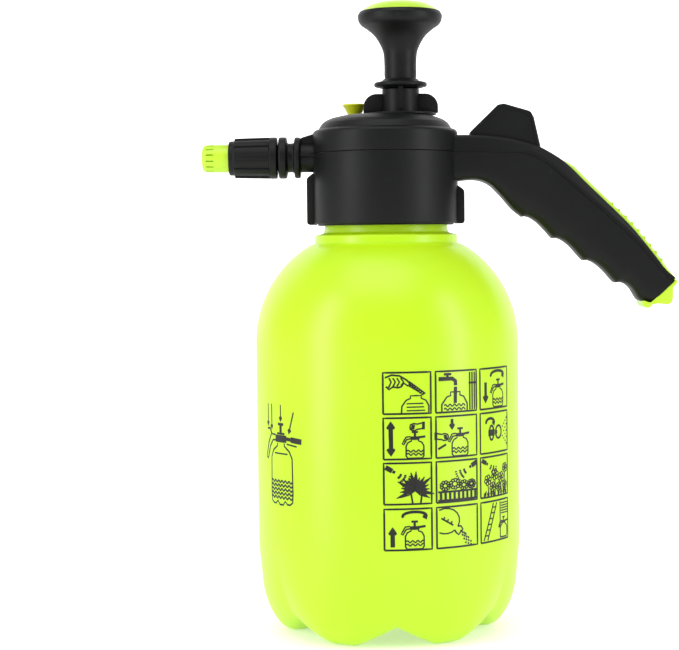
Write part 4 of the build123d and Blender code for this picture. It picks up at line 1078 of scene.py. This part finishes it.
def draw_pour(pen):
    pen.line([(8.4, 0.4), (8.6, 3.4), (10.6, 6.2), (12.6, 7.0), (12.6, 8.2), (17.6, 8.2), (17.6, 7.0),
              (19.8, 6.0),
              (21.2, 3.6), (21.2, 0.4)])
    for k in range(3):
        pen.line([(10.8, 1.4 + 1.6 * k), (19.4 - k * 0.4, 1.4 + 1.6 * k)], 0.45)
    pen.line([(1.0, 16.6), (4.0, 17.8), (7.6, 17.4), (11.0, 15.4), (12.4, 13.6), (11.4, 12.8), (9.6, 14.0),
              (8.4, 12.4),
              (6.8, 12.0), (4.6, 12.4), (2.8, 11.2), (1.4, 12.6)], 0.7)
    for k in range(4):
        pen.line([(2.6 + 1.9 * k, 12.0 + 0.3 * k), (3.8 + 1.9 * k, 14.6), (2.8 + 1.8 * k, 16.4)], 0.6)
    pen.line([(11.8, 14.8), (14.6, 12.8), (19.6, 9.0)], 0.6)
    for k in range(7):
        pen.line([(11.8 + k, 13.6 - 0.85 * k), (12.8 + k, 13.4 - 0.7 * k), (12.2 + k, 12.2 - 0.6 * k)], 1.0)


def draw_fill(pen):
    pen.line([(3.0, 0), (3.0, 3.6), (5.6, 7.0), (7.6, 7.6), (7.6, 9.2), (12.6, 9.2), (12.6, 7.6), (14.6, 7.0),
              (16.6, 3.6),
              (16.6, 0)])
    pen.line([(1.5, 15.4), (8.5, 15.4), (10.2, 14.2), (10.2, 12.2)], 1.8)
    pen.line([(6.0, 15.6), (6.0, 17.4)], 1.0)
    pen.line([(4.2, 17.5), (8.0, 17.5)], 1.0)
    for k in range(3):
        pen.line([(9.6 + k * 0.6, 11.6), (9.4 + k * 0.6, 4.0)], 0.4)
    for k in range(2):
        pen.wave(4.2, 15.6, 1.4 + 1.7 * k)
    for x in (18.2, 19.6, 21.0):
        pen.line([(x, 0.6), (x, 18.0)], 0.6)
    pen.line([(17.6, 13.0), (22.0, 13.0)], 0.8)


def draw_close(pen):
    pen.sprayer(13.5, 0.6, 0.95)
    pen.turn_arrow(13.0, 15.6, 5.4, 1.9)
    pen.arrow(3.8, 12.5, 3.8, 3.0, 1.5, 2.8)


def draw_pump(pen):
    pen.sprayer(14.5, 0.4, 0.9)
    pen.hand(14.0, 14.6, 0.75, 1)
    pen.arrow(3.4, 9.0, 3.4, 17.2, 1.7, 3.0)
    pen.arrow(3.4, 9.6, 3.4, 1.6, 1.7, 3.0)


def draw_press(pen):
    pen.sprayer(12.5, 0.4, 0.95)
    pen.hand(4.4, 9.4, 0.75, -1)
    pen.arrow(8.2, 17.6, 8.2, 12.8, 1.2, 2.2)
    pen.line([(1.0, 4.0), (5.0, 6.0)], 0.9)


def draw_adjust(pen):
    pen.nozzle(12.5, 9.4, 0, 1.5)
    pen.arc(13.6, 9.4, 2.4, 3.0, pen=0.9)
    pen.arc(8.0, 9.4, 1.6, 3.4, pen=0.9)
    for row in range(5):
        reach = 1.0 + row * 1.35
        for k in range(-row, row + 1, 2):
            pen.line([(15.6 + row * 1.3, 9.4 + k * reach / max(row, 1) * 0.9),
                      (16.4 + row * 1.3, 9.4 + k * reach / max(row, 1))])
    pen.turn_arrow(7.0, 14.4, 3.0, 1.8)


def draw_plant(pen):
    pen.nozzle(5.2, 14.6, -30, 1.1)
    pen.spray(5.4, 14.4, -38, 8.0, 46, 6)
    for k in range(15):
        pen.leaf(14.4, 6.2, -28 + 16.4 * k, 7.6 + 1.6 * math.sin(k * 1.9), 0.75)
    for k in range(5):
        pen.leaf(13.6, 8.4, 10 + 36 * k, 4.0, 0.8)
    pen.line([(12.4, 5.0), (13.2, 0.4)], 0.7)
    pen.line([(17.6, 5.0), (17.0, 0.4)], 0.7)


def draw_bushes(pen):
    pen.nozzle(17.6, 15.2, 208, 1.1)
    pen.spray(17.2, 15.0, 212, 8.5, 44, 6)
    for x, z, r in ((4.4, 7.6, 2.6), (9.4, 8.2, 2.9), (14.4, 7.4, 2.6), (18.8, 7.6, 2.3)):
        for k in range(9):
            turn = math.radians(40 * k)
            pen.arc(x + 0.72 * r * math.cos(turn), z + 0.62 * r * math.sin(turn), 0.8, 0.7, pen=0.45)
    pen.line([(0.8, 4.8), (22.0, 4.8)], 0.8)
    pen.line([(0.8, 0.9), (22.0, 0.9)], 0.8)
    for k in range(9):
        pen.line([(2.2 + k * 2.35, 1.0), (2.2 + k * 2.35, 4.6)], 1.0)


def draw_flowers(pen):
    pen.nozzle(5.0, 15.4, -28, 1.0)
    pen.spray(5.2, 15.2, -34, 7.5, 42, 6)
    for x, z, size in ((5.0, 8.0, 1.2), (10.4, 10.2, 1.3), (15.6, 8.4, 1.25), (19.2, 12.6, 1.1),
                       (8.6, 4.6, 1.1),
                       (13.2, 4.2, 1.0), (19.0, 4.6, 1.0)):
        pen.flower(x, z, size)
        pen.line([(x, z - 1.9 * size), (x * 0.9 + 1.2, 0.4)], 0.45)
    for k in range(8):
        pen.leaf(2.4 + 2.6 * k, 0.4, 60 + 20 * (k % 4), 2.8, 0.6)


def draw_release(pen):
    pen.sprayer(14.0, 0.4, 0.95)
    pen.turn_arrow(14.0, 15.6, 5.6, 1.9)
    pen.arrow(3.8, 1.4, 3.8, 10.4, 1.7, 3.0)


def draw_empty(pen):
    pen.arc(4.6, 12.4, 7.2, 5.9, 118, -30)
    pen.arc(4.6, 12.4, 7.2, 5.9, -50, -118)
    pen.line([(10.8, 9.5), (12.4, 9.6), (13.6, 8.0), (11.2, 5.6), (9.8, 6.8), (9.2, 7.9)], 0.7)
    pen.line([(2.2, 13.8), (8.4, 10.2)], 0.7)
    for k in range(3):
        pen.line([(3.4 + 1.9 * k, 13.1 - 1.1 * k), (4.0 + 1.9 * k, 14.3 - 1.1 * k)], 0.6)
    for i in range(4):
        for k in range(4):
            pen.line([(12.2 + i * 0.9 + k * (0.9 + 0.2 * i), 7.6 - i * 0.5 - k * 1.9),
                      (12.8 + i * 0.9 + k * (0.9 + 0.2 * i), 6.7 - i * 0.5 - k * 1.8)], 0.7)


def draw_store(pen):
    pen.line([(2.0, 0.8), (9.0, 18.0)], 0.6)
    pen.line([(4.6, 0.8), (11.6, 18.0)], 0.6)
    for k in range(6):
        pen.line([(3.0 + k * 1.15, 3.0 + 2.6 * k), (5.6 + k * 1.15, 3.0 + 2.6 * k)], 0.5)
    pen.line([(14.6, 0.8), (14.6, 18.0)], 0.6)
    pen.sprayer(17.8, 1.0, 0.7, False)
    for k in range(5):
        pen.line([(15.4, 12.4 + 1.2 * k), (21.6, 12.4 + 1.2 * k)], 0.45)


def draw_schematic(pen):
    """The larger drawing of the sprayer, with arrows above its moving parts."""
    body = [(-2.8, 29.6), (-2.8, 28.2), (-6.4, 26.0), (-8.4, 22.6), (-8.7, 6.0), (-8.4, 2.0), (-6.6, 0.8),
            (-4.6, 0.8),
            (-3.0, 2.2), (-1.4, 0.4), (1.4, 0.4), (3.0, 2.2), (4.6, 0.8), (6.6, 0.8), (8.4, 2.0), (8.7, 6.0),
            (8.4, 22.6),
            (6.4, 26.0), (2.8, 28.2), (2.8, 29.6)]
    pen.line(body, 0.7)
    for k in range(5):
        pen.wave(-8.2, 8.2, 3.8 + 1.9 * k, 0.55, 2.7, 0.7)
    pen.line([(-4.4, 31.6), (4.4, 31.6)], 3.4)
    pen.line([(-3.0, 34.0), (3.0, 34.0)], 0.9)
    pen.line([(0, 34.0), (0, 38.0)], 1.5)
    pen.line([(-2.2, 38.4), (2.2, 38.4)], 1.2)
    pen.line([(4.4, 31.8), (7.6, 31.6)], 1.6)
    pen.line([(7.6, 31.6), (14.6, 31.0)], 2.6)
    pen.line([(4.6, 29.4), (11.6, 28.6)], 0.6)
    handle = [(-4.4, 33.2), (-8.4, 33.4), (-11.4, 29.0), (-13.8, 22.0), (-12.2, 21.4), (-9.6, 27.6),
              (-6.8, 30.6), (-4.4, 30.8)]
    pen.line(handle, 0.7)
    pen.line([(-8.2, 33.6), (-9.8, 36.0), (-12.4, 35.6)], 0.9)
    pen.line([(-5.2, 24.6), (5.2, 24.6)], 0.6)
    for x, low, high in ((-11.8, 37.0, 47.6), (-8.0, 35.6, 47.6), (0.0, 39.8, 47.6)):
        pen.arrow(x, high, x, low, 0.7, 1.8)
    pen.arrow(9.6, 44.6, 6.2, 34.4, 0.7, 1.8)


def make_print():
    pictures = [[draw_pour, draw_pump, draw_plant, draw_release],
                [draw_fill, draw_press, draw_bushes, draw_empty],
                [draw_close, draw_adjust, draw_flowers, draw_store]]
    sheet = Sheet()
    for column, pictures_down in enumerate(pictures):
        for low, draw in zip(ROW_LOWS, pictures_down):
            sheet.at(PRINT_LEFT + column * CELL_PITCH, low)
            sheet.line([(0, 0), (CELL_W, 0), (CELL_W, CELL_H), (0, CELL_H), (0, 0)], 0.75)
            draw(sheet)
    draw_schematic(sheet.at(-58.2, 65.8))
    strokes = [([(p.x * MM, 0, p.y * MM) for p in points], pen * MM) for points, pen in sheet.strokes]
    sizes = {"Wall Radius": bottle_r + 0.02 * MM, "Ink Thickness": -0.04 * MM}
    return geometry_piece("printed_pictures", line_object("strokes", strokes), INK, sizes, strokes_on_wall)


def strokes_on_wall(graph, given):
    """Flat strokes given a width and wrapped round an upright wall."""
    nib = graph.node("GeometryNodeCurvePrimitiveCircle", None, {"Resolution": 6, "Radius": 1.0})
    pen = graph.node("GeometryNodeInputRadius")
    solid = graph.node("GeometryNodeCurveToMesh", None,
                       {"Curve": given["Source"], "Profile Curve": nib, "Scale": pen, "Fill Caps": True})
    split = graph.node("ShaderNodeSeparateXYZ", None,
                       {0: graph.node("GeometryNodeInputPosition")}).socket.node
    x, y, z = (Wire(graph, split.outputs[axis]) for axis in ("X", "Y", "Z"))
    angle = x / given["Wall Radius"]
    reach = given["Wall Radius"] + y.math("SIGN") * given["Ink Thickness"]
    spot = graph.node("ShaderNodeCombineXYZ", None,
                      {"X": reach * angle.math("SINE"), "Y": 0 - reach * angle.math("COSINE"), "Z": z})
    return graph.node("GeometryNodeSetPosition", None, {"Geometry": solid, "Position": spot})


piece(make_print(), "bottle", "black_plastic")


# ---- carried-over CAD nodes
for entry in frame["record"]["subparts"]:
    node = NODES[entry["node"]]
    node.data.materials.clear()
    node.data.materials.append(SLOT_LOOKS[entry["material_slot"]])
